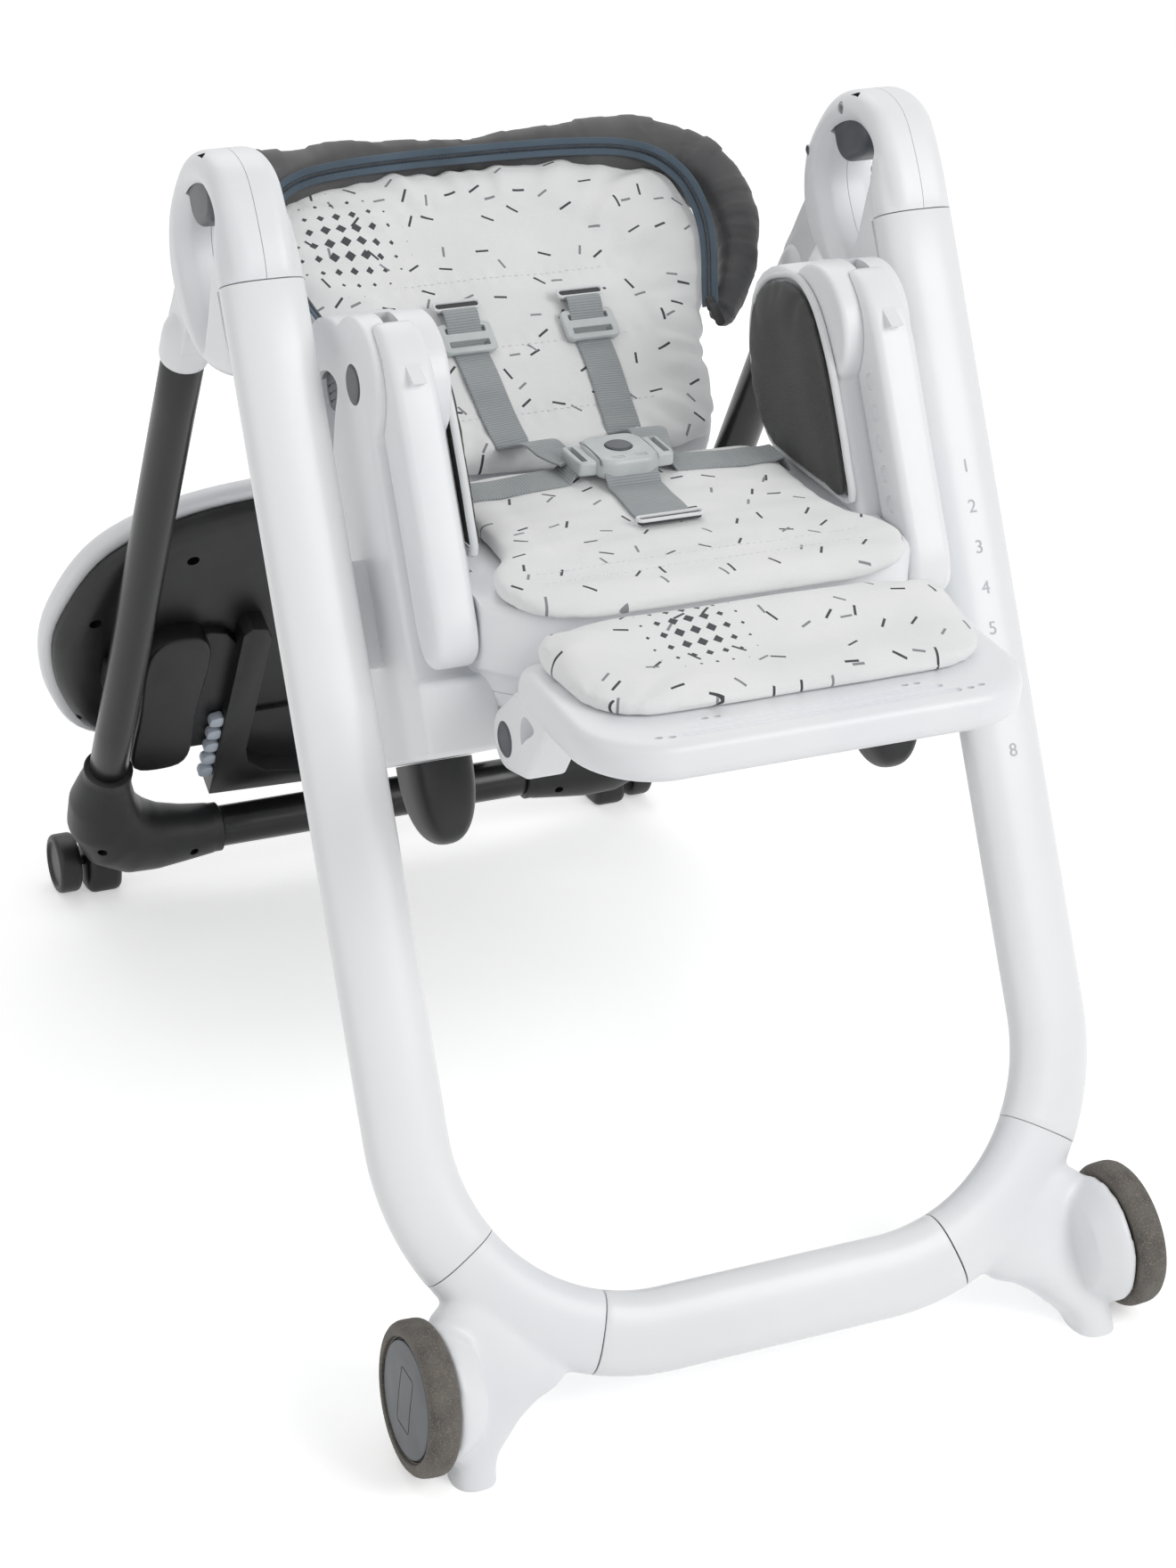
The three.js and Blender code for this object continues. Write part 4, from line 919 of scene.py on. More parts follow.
settle_pair(elbow, BLACK_ABS, "rear_frame", "rear_corner", 40)
bar_section = circle(BAR_N, BAR_W, BAR_RADIUS, BAR_RADIUS, 40)
rear_bar_rings = [[Vector((-0.1308 + 0.02616 * k, n, w)) for n, w in bar_section] for k in range(11)]
rear_bar = soften(loft("rear_crossbar", rear_bar_rings, REAR), 0.0008, 2, 60)
settle(rear_bar, BLACK_PAINT, "rear_frame", ["rear_bar"])
print("rear corners", len(elbow.data.polygons), "faces each")

# %% Rear wheels
REAR_WHEEL = working_frame(Vector(joints["rear_wheel_right_spin"]["pos_m"]), SIDEWAYS, Vector((0, 1, 0)),
                           Vector((0, 0, 1)))
small_profile = rounded_profile(
    [(0.0043, -0.009), (0.024, -0.009), (0.024, 0.009), (0.0185, 0.009), (0.0172, 0.0068), (0.0, 0.0076), (0.0, 0.0045),
     (0.0043, 0.0045)],
    [0.0004, 0.0045, 0.0045, 0.0006, 0.0006, 0, 0, 0.0004])
small_wheel = spun("rear_wheel", small_profile, REAR_WHEEL, 56)
settle_pair(small_wheel, BLACK_ABS, "rear_wheel_{}", "rear_wheel", 35)
print("rear wheels", len(small_wheel.data.polygons))

# %% [markdown]
# ## The stored tray
# When it isn't used, the tray hangs behind the rear tubes on two clips, face outwards. Its white plate has a
# rolled lip round a shallow dish. The black underside is a thin ribbed shell with two slide arms on each
# side and a row of pale teeth that set how far out the tray sits.

# %% Tray plate
TRAY = REAR @ Matrix.Translation((0, 0, -0.135))


def tray_ring(shrink, n):
    half = [(0, -0.172), (0.11, -0.174), (0.196, -0.188), (0.25, -0.222), (0.276, -0.28), (0.281, -0.332),
            (0.268, -0.392), (0.236, -0.446), (0.17, -0.468), (0.09, -0.458)]
    edge = [(x - (shrink if x else 0), w - shrink if w > -0.32 else w + shrink) for x, w in half]
    outline = smooth_outline([edge[0], *mirrored(edge[1:], (0, -0.448 + shrink))], 120)
    return [Vector((x, n, w)) for x, w in outline]


lip = [(0.006, 0.0522), (0.0022, 0.0524), (0.0005, 0.0545), (0, 0.0585), (0.0006, 0.0632), (0.0032, 0.0668),
       (0.0075, 0.0679), (0.012, 0.0666), (0.0155, 0.0632), (0.0185, 0.0606), (0.0225, 0.0597)]
tray = loft("tray_plate_shell", [tray_ring(shrink, n) for shrink, n in lip], TRAY)
settle(tray, WHITE_ABS, "tray", ["tray_plate"], 60)
print("tray plate", len(tray.data.polygons))

# %% Tray underside
under_steps = [(0.012, 0.0516), (0.0075, 0.0512), (0.007, 0.0485), (0.0085, 0.044), (0.013, 0.0402), (0.02, 0.0385)]
under = loft("tray_underside", [tray_ring(shrink, n) for shrink, n in under_steps], TRAY)


def upright_plate(name, outline, n0, n1, edge=0.0015, segments=2):
    return plate(name, outline, n0, n1, TRAY, FACING_FRONT, edge, segments)


OUTER_ARM = [(0.158, -0.318), (0.17, -0.306), (0.192, -0.306), (0.204, -0.318), (0.2045, -0.4), (0.203, -0.46),
             (0.196, -0.468), (0.166, -0.468), (0.1585, -0.46), (0.158, -0.4)]
INNER_ARM = [(0.109, -0.318), (0.114, -0.306), (0.126, -0.303), (0.133, -0.31), (0.133, -0.515), (0.052, -0.519),
             (0.048, -0.511), (0.05, -0.503), (0.088, -0.494), (0.105, -0.478), (0.109, -0.46)]
SADDLE = [(0.13, -0.335), (0.142, -0.318), (0.155, -0.314), (0.168, -0.318), (0.168, -0.46), (0.13, -0.46)]
for side in (-1, 1):
    outer_arm = smooth_outline([(side * x, w) for x, w in OUTER_ARM], 60)
    inner_arm = [(side * x, w) for x, w in INNER_ARM]
    if side > 0:
        inner_arm = inner_arm[:4] + [(0.133, -0.48), (0.109, -0.48), (0.109, -0.46)]
    saddle = [(side * x, w) for x, w in SADDLE]
    weld(under, upright_plate("outer_arm", outer_arm, 0.0205, 0.0401, 0.003, 3),
         upright_plate("inner_arm", inner_arm, 0.0205, 0.0408, 0.0012),
         upright_plate("saddle", saddle, 0.031, 0.0415, 0.0012))
    for x, w in ((0.178, -0.232), (0.246, -0.292), (0.247, -0.415), (0.09, -0.232), (0.05, -0.4)):
        carve(under, upright_plate("hole", circle(side * x, w, 0.0048, 0.0048, 24), 0.03, 0.0455, 0))
weld(under, upright_plate("apron", rounded_rectangle(-0.112, -0.516, 0.112, -0.43, 0.006, 6), 0.0345, 0.0423, 0.0012))
settle(under, BLACK_ABS, "tray", ["tray_base"], 35)
print("tray underside", len(under.data.polygons))

# %% Tray teeth and clips
TOOTH = [(0, -0.0052), (0.006, -0.0058), (0.0102, -0.0035), (0.0105, 0.0), (0.0095, 0.0035), (0.005, 0.0052),
         (0, 0.0052)]
for side, word in ((-1, "left"), (1, "right")):
    for i in range(5 if side < 0 else 4):
        w = -0.421 - i * 0.0165
        edge = smooth_outline([(side * (0.1335 + x), w + b) for x, b in TOOTH], 24)
        tooth = upright_plate(f"tray_tooth_{word}_{i + 1}", edge, 0.0228, 0.0305, 0.001, 2)
        settle(tooth, TEETH_NYLON, "tray")
clip = upright_plate("tray_clip", rounded_rectangle(0.2212, -0.3598, 0.2368, -0.3302, 0.003, 5), 0.0225, 0.0363, 0.0015)
carve(clip, upright_plate("clip_groove", rounded_rectangle(0.2, -0.3475, 0.26, -0.3425, 0.001, 3), 0.018, 0.0262, 0))
settle_pair(clip, BLACK_ABS, "rear_frame", "tray_clip", 35)
print("tray fittings done")

# %% [markdown]
# ## Side pods and armrests
# A pod on each side of the seat hides the catch that grips the front leg. Its front is a rounded armrest that
# turns about the slate button at the top. The two mouldings meet on a thin curved line. Both are side
# outlines given a thickness, with edges rolled by a wide bevel.

# %% Pod
POD_INNER, POD_OUTER = 0.135, 0.185
ARM_V, ARM_U, HEAD_RADIUS = -0.0145, -0.071, 0.0426


def head_arc(radius, start, end, steps=28):
    return arc(ARM_V, ARM_U, radius, [start + (end - start) * k / steps for k in range(steps + 1)])


FRONT_FACE = -0.033
low = math.degrees(math.asin((FRONT_FACE - ARM_V) / HEAD_RADIUS))
BACK_EDGE = [(0.0, -0.0315), (0.014, -0.024), (0.026, -0.0205), (0.038, -0.0195), (0.05, -0.0205), (0.061, -0.0245),
             (0.071, -0.032), (0.079, -0.043), (0.0835, -0.056), (0.085, -0.07), (0.0845, -0.09), (0.083, -0.11),
             (0.0765, -0.15), (0.07, -0.19), (0.064, -0.225), (0.06, -0.255), (0.0575, -0.282), (0.056, -0.308)]


def pod_outline(grow=0.0):
    front = [(-0.042 - grow, -0.308 - grow), (-0.042 - grow, -0.262 + grow), (FRONT_FACE - grow, -0.258 + grow)]
    head = head_arc(HEAD_RADIUS + grow, -90 + low, -285)
    back = [(v + grow, u + (grow if u > -0.3 else -grow)) for v, u in BACK_EDGE]
    return front + head + back


def turned(v, u, degrees):
    """A point of the leg's side view, turned with the armrest about its pivot."""
    angle = math.radians(degrees)
    return (ARM_V + math.cos(angle) * v - math.sin(angle) * u, ARM_U + math.sin(angle) * v + math.cos(angle) * u)


arm_sweep = [turned(-length, 0.0135 * side, -7 * i) for i in range(9) for length in (0, 0.072) for side in (-1, 1)]
pod = plate("pod", pod_outline(), POD_INNER, POD_OUTER, LEG, edge=0.0055, segments=4)
lever_slot = smooth_outline([(0.016, -0.066), (0.028, -0.0555), (0.042, -0.053), (0.0555, -0.0555), (0.066, -0.07),
                             (0.0665, -0.09), (0.062, -0.106), (0.0555, -0.1165), (0.0515, -0.114), (0.045, -0.104),
                             (0.03, -0.084)], 60)
carve(pod,
      plate("arm_slot", hull_of(arm_sweep), 0.1586, 0.1684, LEG, edge=0),
      rod("knob_room", 0.0165, 0.1586, 0.1684, ARM_V, ARM_U, LEG, 40, 0),
      rod("button_well", 0.0129, 0.177, 0.19, ARM_V, ARM_U, LEG, 48, 0),
      plate("lever_slot", lever_slot, 0.1705, 0.19, LEG, edge=0),
      plate("lever_room", rounded_rectangle(0.0285, -0.07, 0.0565, -0.0435, 0.003, 4), 0.1702, 0.1806, LEG, edge=0))
shoe = plate("shoe", rounded_rectangle(0.0172, -0.2455, 0.0308, -0.1765, 0.004, 5), 0.178, 0.24, LEG, edge=0.003)
weld(pod, shoe)
pods = settle_pair(pod, WHITE_ABS, "seat", "pod", 35)
print("pods", len(pods[0].data.polygons), "faces each")

# %% [markdown]
# The slate parts of the pod: a round button on the armrest's pivot and a lever tucked in the top of the
# finger slot. The button is slightly domed, with a rim, so that it catches a thin highlight.

# %% Arm buttons and height levers
BUTTON = LEG @ Matrix.Translation((0, ARM_V, ARM_U))
dome = rounded_profile([(0.0, 0.181), (0.0124, 0.181), (0.0124, 0.1848), (0.0108, 0.1856), (0.0, 0.1853)],
                       [0, 0.0003, 0.0008, 0.0006, 0])
arm_button = spun("arm_button", dome, BUTTON, 56)
settle_pair(arm_button, SLATE_ABS, "arm_button_{}", "arm_button", 30)
lever = plate("height_lever", smooth_outline([(0.0298, -0.064), (0.033, -0.055), (0.0425, -0.0524), (0.052, -0.055),
                                              (0.0552, -0.064), (0.054, -0.075), (0.0425, -0.0796), (0.031, -0.075)],
                                              44), 0.1712, 0.1792, LEG, edge=0.0022, segments=4)
for u in (-0.062, -0.067, -0.072):
    ridge = rounded_rectangle(0.035, u - 0.0007, 0.05, u + 0.0007, 0.0005, 3)
    carve(lever, plate("ridge", ridge, 0.1786, 0.182, LEG, edge=0))
settle_pair(lever, SLATE_ABS, "height_lever_{}", "height_lever", 30)
print("buttons and levers done")

# %% [markdown]
# The armrest is a thick slab whose top is hollowed to run round the pod's head. A flat tongue carries it on
# the pivot. Five oval dimples on its inner side are the sockets of the tray's catch.

# %% Armrests
slab_edge = smooth_outline([(-0.034, -0.232), (-0.034, -0.2), (-0.034, -0.17), (-0.034, -0.14), (-0.034, -0.11),
                            (-0.034, -0.085), (-0.034, -0.06), (-0.0375, -0.0455), (-0.0465, -0.0395),
                            (-0.0575, -0.0475), (-0.0655, -0.063), (-0.0695, -0.085), (-0.07, -0.11), (-0.07, -0.14),
                            (-0.07, -0.17), (-0.07, -0.205), (-0.0695, -0.235), (-0.064, -0.2495), (-0.052, -0.255),
                            (-0.0405, -0.25)], 140)
armrest = plate("armrest", slab_edge, 0.149, 0.179, LEG, edge=0.0065, segments=5)
carve(armrest, rod("head_room", 0.0434, 0.13, 0.2, ARM_V, ARM_U, LEG, 96, 0))
tongue = plate("tongue", [turned(-0.062, -0.012, 0), turned(0, -0.012, 0), turned(0, 0.012, 0),
                          turned(-0.045, 0.012, 0)], 0.159, 0.168, LEG, edge=0)
weld(armrest, tongue, rod("knob", 0.0158, 0.159, 0.168, ARM_V, ARM_U, LEG, 40, 0.0004))
for i in range(5):
    u = -0.114 - 0.02 * i
    dimple = smooth_outline([(-0.058, u), (-0.0555, u + 0.0052), (-0.0515, u + 0.006), (-0.0475, u + 0.004),
                             (-0.0462, u), (-0.0485, u - 0.0045), (-0.0525, u - 0.006), (-0.0562, u - 0.0048)], 28)
    carve(armrest, plate("dimple", dimple, 0.14, 0.1515, LEG, edge=0))
groove_line = [(-0.0725, -0.0655), (-0.0725, -0.0649), (-0.04, -0.0615), (-0.04, -0.0621)]
carve(armrest, plate("groove", groove_line, 0.1785, 0.182, LEG, edge=0))
settle_pair(armrest, WHITE_ABS, "armrest_{}", "armrest", 32)
# A dark arc in the gap between the pod's head and the armrest paints the shade in that seam.
seam_edge = head_arc(0.0430, -120, -222, 20) + head_arc(0.0415, -222, -120, 20)
settle_pair(plate("head_seam_core", seam_edge, 0.1505, 0.1775, LEG, edge=0), PAINTED_SHADE, "seat")
print("armrests", len(armrest.data.polygons))

# %% Black sliders
SLIDER_TOP, SLIDER_DEPTH = -0.3086, 0.0534
slider_rings = []
for i in range(19):
    down = math.sin(math.radians(90 * min(i / 18, 0.992)))
    full = (1 - down ** 2.4) ** (1 / 2.4)
    slider_rings.append(oval((0.159, 0.028, SLIDER_TOP - SLIDER_DEPTH * down), (1, 0, 0), (0, 1, 0), 0.022 * full,
                             0.0265 * full, 48, 3))
slider = loft("slider", slider_rings, LEG)
settle_pair(slider, BLACK_ABS, "seat", "slider", 40)
print("sliders", len(slider.data.polygons))

# %% [markdown]
# ## Seat tub and base
# The tub is a shallow round-fronted tray that the cushion lies in. Under it sits a base shell in two steps,
# with a fine parting line between them, two hinge ears at the back and two at the front.

# %% Seat tub
def flat_plate(name, outline, low, high, edge=0.004, segments=3):
    return plate(name, outline, low, high, SEAT, LYING_FLAT, edge, segments)


def level_ring(outline, z):
    return [Vector((x, y, z)) for x, y in outline]


def both_sides(tool):
    """A cutting tool and its twin on the other side of the chair."""
    return tool, twin(tool, tool.name + "_left")


tub_steps = [(0.0035, 0.453), (0.002, 0.4534), (0.0008, 0.4546), (0.0, 0.4572), (0.0, 0.4925), (0.0012, 0.4958),
             (0.0035, 0.4976), (0.0065, 0.498)]
tub_rings = [level_ring(rounded_rectangle(-0.157 + d, -0.218 + d, 0.157 - d, -0.024 - d,
                                          [0.062 - d * 0.6, 0.062 - d * 0.6, 0.008, 0.008], 16), z)
                                          for d, z in tub_steps]
tub = loft("seat_tub", tub_rings, SEAT)
arm_room = oblong(-0.076, -0.262, -0.028, -0.02)
carve(tub, *both_sides(plate("pod_room", pod_outline(0.0005), POD_INNER - 0.0005, 0.2, LEG, edge=0)),
      *both_sides(plate("arm_room", arm_room, 0.1475, 0.2, LEG, edge=0)))
settle(tub, WHITE_ABS, "seat", ["seat_tub"], 35)
print("seat tub", len(tub.data.polygons))

# %% Seat base
upper_plan = rounded_rectangle(-0.152, -0.206, 0.152, 0.066, [0.06, 0.06, 0.03, 0.03], 14)
base = flat_plate("seat_base", upper_plan, 0.426, 0.4526, 0.0035)
wedge = flat_plate("wedge", rounded_rectangle(-0.146, -0.2, 0.146, 0.06, [0.056, 0.056, 0.026, 0.026], 14), 0.404,
                   0.4275, 0.007, 4)
weld(base, wedge)
PIN_HOLE, RECLINE_Z = 0.0041, 0.475
LEGREST_Y, LEGREST_Z = -0.228, 0.425
hinge_ear = [(-0.03, 0.43), *arc(0, RECLINE_Z, 0.011, range(160, -21, -15)), (0.03, 0.43)]
front_ear = [(-0.19, 0.408), (-0.19, 0.446), *arc(LEGREST_Y, LEGREST_Z, 0.015, range(80, 281, 15))]
weld(base, *both_sides(plate("hinge_ear", hinge_ear, 0.101, 0.112, SEAT, edge=0.001)),
     *both_sides(plate("front_ear", front_ear, 0.101, 0.112, SEAT, edge=0.0015)))
groove_plan = rounded_rectangle(-0.153, -0.207, 0.153, 0.067, [0.06, 0.06, 0.03, 0.03], 14)
core_plan = rounded_rectangle(-0.1512, -0.2052, 0.1512, 0.0652, [0.0592, 0.0592, 0.0292, 0.0292], 14)
groove_tool = loft("groove_tool", [level_ring(groove_plan, z) for z in (0.4362, 0.4369)], SEAT)
carve(groove_tool, loft("groove_core", [level_ring(core_plan, z) for z in (0.435, 0.438)], SEAT))
carve(base, groove_tool)
for turn in (-26, 26):
    spot = Vector((math.copysign(0.122, turn), -0.166, 0.416))
    facing = Vector((math.sin(math.radians(turn)) * 1.6, -1, 0)).normalized()
    hole_frame = working_frame(SEAT @ spot, facing, Vector((facing.y, -facing.x, 0)), Vector((0, 0, 1)))
    carve(base, plate("oval_hole", circle(0, 0, 0.0078, 0.0046, 28), -0.012, 0.04, hole_frame, edge=0))
for side in (-1, 1):
    weld(base, flat_plate("boss", circle(side * 0.084, -0.196, 0.011, 0.011, 36), 0.4015, 0.412, 0.0015))
carve(base, *both_sides(rod("pin_hole", PIN_HOLE, 0.09, 0.12, 0.0, RECLINE_Z, SEAT, 24, 0)),
      *both_sides(rod("pin_hole", PIN_HOLE, 0.09, 0.12, LEGREST_Y, LEGREST_Z, SEAT, 24, 0)))
settle(base, WHITE_ABS, "seat", ["seat_base"], 35)
for name in ("recline_pin", "legrest_pin"):
    frame["nodes"][name].material_slots[0].material = STEEL
print("seat base", len(base.data.polygons))

# %% [markdown]
# ## Legrest
# The legrest is a thin tray with deep round corners. Two brackets carry it on the hinge, each with a
# triangular pocket that saves plastic. Two long shallow grooves and small drain holes mark its front.

# %% Legrest plate and brackets
legrest_steps = [(0.010, 0.455), (0.005, 0.4556), (0.0018, 0.4578), (0.0003, 0.461), (0.0, 0.465), (0.0, 0.4705),
                 (0.0008, 0.4748), (0.0028, 0.4782), (0.006, 0.4797), (0.010, 0.48)]
leg_rings = [level_ring(rounded_rectangle(-0.148 + d, -0.372 + d, 0.148 - d, -0.236 - d,
                                          [0.05 - d * 0.5, 0.05 - d * 0.5, 0.016 - d * 0.5, 0.016 - d * 0.5], 14), z)
             for d, z in legrest_steps]
legrest = loft("legrest", leg_rings, SEAT)
for y0, y1, half in ((-0.3615, -0.3565, 0.092), (-0.3525, -0.3475, 0.084)):
    carve(legrest, flat_plate("groove", rounded_rectangle(-half, y0, half, y1, 0.0024, 6), 0.4783, 0.49, 0))
for side in (-1, 1):
    for x, y in ((0.062, -0.343), (0.07, -0.343), (0.098, -0.359), (0.106, -0.3575)):
        carve(legrest, flat_plate("drain_hole", circle(side * x, y, 0.0026, 0.0015, 20), 0.474, 0.49, 0))
under_side = rounded_rectangle(-0.116, -0.358, 0.116, -0.25, [0.03, 0.03, 0.01, 0.01], 10)
carve(legrest, flat_plate("hollow", under_side, 0.44, 0.4605, 0))
bracket_edge = hull_of([*arc(LEGREST_Y, LEGREST_Z, 0.02, range(60, -121, -12)), (-0.244, 0.413), (-0.248, 0.428),
                        (-0.239, 0.4622), (-0.292, 0.4622), (-0.274, 0.432), (-0.262, 0.413)])
bracket = plate("bracket", bracket_edge, 0.120, 0.147, SEAT, edge=0.0035)
pocket = smooth_outline([(-0.254, 0.4335), (-0.2585, 0.438), (-0.272, 0.4505), (-0.268, 0.4535), (-0.257, 0.4535),
                         (-0.2525, 0.449), (-0.2515, 0.4395)], 40)
carve(bracket, plate("pocket", pocket, 0.137, 0.16, SEAT, edge=0),
      rod("button_well", 0.0114, 0.1405, 0.16, LEGREST_Y, LEGREST_Z, SEAT, 48, 0),
      rod("pin_hole", PIN_HOLE, 0.11, 0.16, LEGREST_Y, LEGREST_Z, SEAT, 24, 0))
weld(legrest, bracket, twin(bracket, "bracket_left"))
settle(legrest, WHITE_ABS, "legrest", ["legrest"], 35)
LEG_BUTTON = SEAT @ Matrix.Translation((0, LEGREST_Y, LEGREST_Z))
cap = rounded_profile([(0.0, 0.1432), (0.0109, 0.1432), (0.0109, 0.1472), (0.0092, 0.1482), (0.0082, 0.1476),
                       (0.0, 0.1478)], [0, 0.0003, 0.0008, 0.0006, 0.0003, 0])
settle_pair(spun("legrest_button", cap, LEG_BUTTON, 48), SLATE_ABS, "legrest_button_{}", "legrest_button", 30)
print("legrest", len(legrest.data.polygons))

# %% [markdown]
# ## Back shell and recline lever
# The back shell is a thin arched board behind the cushion. Ribs stiffen its back, and a slate grip at the top
# is pulled to let the back recline.

# %% Back shell
def arch(points, count=110):
    return smooth_outline(mirrored(points), count)


def back_plate(name, outline, low, high, edge, segments=3):
    return plate(name, outline, low, high, BACK, LYING_FLAT, edge, segments)


BOARD = [(0.098, 0.022), (0.113, 0.04), (0.121, 0.062), (0.121, 0.095), (0.123, 0.132), (0.1385, 0.165), (0.146, 0.212),
         (0.1315, 0.25), (0.069, 0.2675), (0.02, 0.269)]
board = back_plate("back_shell", arch(BOARD), -0.016, -0.0032, 0.003, 3)
knuckle = rod("knuckle", 0.010, -0.098, 0.098, 0, 0, BACK, 40, 0.001)
web_edge = rounded_rectangle(-0.092, 0.003, 0.092, 0.035, 0.002, 3)
weld(board, back_plate("web", web_edge, -0.0095, -0.0045, 0.001, 2), knuckle)
for x0, s0, x1, s1, n in ((-0.1, 0.075, 0.1, 0.083, -0.0135), (-0.105, 0.125, 0.105, 0.133, -0.0136),
                          (-0.12, 0.178, 0.12, 0.186, -0.0137), (-0.075, 0.04, -0.067, 0.245, -0.0132),
                          (0.067, 0.04, 0.075, 0.245, -0.0131)):
    carve(board, back_plate("channel", rounded_rectangle(x0, s0, x1, s1, 0.0035, 5), -0.02, n, 0))
carve(board, rod("pin_hole", PIN_HOLE, -0.1, 0.1, 0, 0, BACK, 24, 0))
settle(board, WHITE_ABS, "backrest", ["back_shell"], 35)
grip = back_plate("recline_lever", rounded_rectangle(-0.042, 0.2145, 0.042, 0.2395, 0.0085, 8), -0.034, -0.024, 0.0035,
                  4)
carve(grip, back_plate("finger_groove", rounded_rectangle(-0.03, 0.222, 0.03, 0.232, 0.004, 5), -0.04, -0.0322, 0))
weld(grip, back_plate("stem", rounded_rectangle(-0.012, 0.219, 0.012, 0.235, 0.003, 4), -0.026, -0.0166, 0.0008))
settle(grip, SLATE_ABS, "recline_lever", ["recline_lever"], 35)
print("back shell", len(board.data.polygons))

# %% [markdown]
# ## Soft goods
# Each cushion starts as a slightly thin closed form. A voxel remesh gives it even cloth, the cloth simulation
# blows it up with a little air, and points on seams and on the underside are held still. The seams stay low,
# so the cloth swells between them as it does between real stitches. A cap keeps it from growing too far.

# %% The air that fills a cushion
AIR_PRESSURE, CLOTH_STEPS = 4.0, 20


def puff(piece, cap, voxel, held):
    apply_modifier(piece, "REMESH", mode="VOXEL", voxel_size=voxel)
    before = [corner.co.copy() for corner in piece.data.vertices]
    seams = piece.vertex_groups.new(name="seams")
    still = [i for i, spot in enumerate(before) if held(spot)]
    seams.add(still, 1.0, "REPLACE")
    pick(piece)
    cloth = piece.modifiers.new("Cloth", "CLOTH")
    cloth.settings.quality = 5
    cloth.settings.use_pressure = True
    cloth.settings.uniform_pressure_force = AIR_PRESSURE
    cloth.settings.vertex_group_mass = "seams"
    cloth.settings.effector_weights.gravity = 0
    for step in range(1, CLOTH_STEPS + 1):
        bpy.context.scene.frame_set(step)
    bpy.ops.object.modifier_apply(modifier="Cloth")
    bpy.context.scene.frame_set(1)
    for corner, spot in zip(piece.data.vertices, before):
        move = corner.co - spot
        if move.length > 1e-7:
            corner.co = spot + move * (cap * math.tanh(move.length / cap) / move.length)
    piece.vertex_groups.clear()
    apply_modifier(piece, "SMOOTH", factor=0.4, iterations=1)
    return apply_modifier(piece, "SUBSURF", levels=1, render_levels=1)


def ruffle(piece, height):
    """Moves each point along its normal by a height that depends on its place."""
    moves = [corner.normal * height(corner.co) for corner in piece.data.vertices]
    for corner, move in zip(piece.data.vertices, moves):
        corner.co += move
    return piece


def ridges(spot, frame_back, scale, seed):
    """Smooth noise that is longer one way than the other, as pulled cloth is."""
    local = frame_back @ spot
    return noise.noise(Vector((local.x * scale[0] + seed, local.y * scale[1], local.z * scale[2])))


print("cushion tools ready")

# %% Strips that follow a path
def strip_rings(path, ups, half_width, half_thick, sides=20, squareness=6, closed=False):
    rings, n = [], len(path)
    for i, spot in enumerate(path):
        if closed:
            along = path[(i + 1) % n] - path[i - 1]
        else:
            along = path[min(i + 1, n - 1)] - path[max(i - 1, 0)]
        along.normalize()
        across = along.cross(ups[i]).normalized()
        rings.append(oval(spot, across, across.cross(along), half_width, half_thick, sides, squareness))
    return rings + ([rings[0]] if closed else [])


def strip(name, path, ups, half_width, half_thick, sides=20, squareness=6, closed=False):
    """A tape, strap or piping along a path, with its own flat pattern stored as weave."""
    rings = strip_rings(path, ups, half_width, half_thick, sides, squareness, closed)
    piece = loft(name, rings)
    reach = [0.0]
    for a, b in zip(path, path[1:]):
        reach.append(reach[-1] + (b - a).length)
    if closed:
        reach.append(reach[-1] + (path[0] - path[-1]).length)
    spots = piece.data.attributes.new("weave", "FLOAT_VECTOR", "POINT")
    tree_of_spots = KDTree(sum(len(ring) for ring in rings))
    for i, ring in enumerate(rings):
        for j, spot in enumerate(ring):
            tree_of_spots.insert(spot, i * sides + j)
    tree_of_spots.balance()
    for corner in piece.data.vertices:
        i, j = divmod(tree_of_spots.find(corner.co)[1], sides)
        spots.data[corner.index].vector = (half_width * math.cos(math.tau * j / sides), reach[i], 0)
    return piece


def length_of(path):
    return sum((b - a).length for a, b in zip(path, path[1:]))


def resample(points, count):
    """Evenly spaced points on a smooth open curve through the given ones."""
    dense = []
    spots = [Vector(p) for p in points]
    spots = [spots[0] * 2 - spots[1], *spots, spots[-1] * 2 - spots[-2]]
    for a, b, c, d in zip(spots, spots[1:], spots[2:], spots[3:]):
        bend, twist = 2 * a - 5 * b + 4 * c - d, 3 * b - a - 3 * c + d
        for k in range(20):
            t = k / 20
            dense.append(0.5 * (2 * b + (c - a) * t + bend * t ** 2 + twist * t ** 3))
    dense.append(spots[-2])
    lengths = [(q - p).length for p, q in zip(dense, dense[1:])]
    total, out, walked, i = sum(lengths), [dense[0]], 0.0, 0
    for k in range(1, count - 1):
        due = total * k / (count - 1)
        while i < len(lengths) - 1 and walked + lengths[i] < due:
            walked += lengths[i]
            i += 1
        out.append(dense[i].lerp(dense[i + 1], (due - walked) / max(lengths[i], 1e-9)))
    return out + [dense[-1]]


def dropped(piece, spot, direction, lift):
    """The place on a piece straight along a direction from a spot, lifted off by a little, and its normal."""
    hit, place, facing, _ = piece.ray_cast(spot - direction * 0.1, direction)
    return (place - direction * lift, facing) if hit else (spot, -direction)


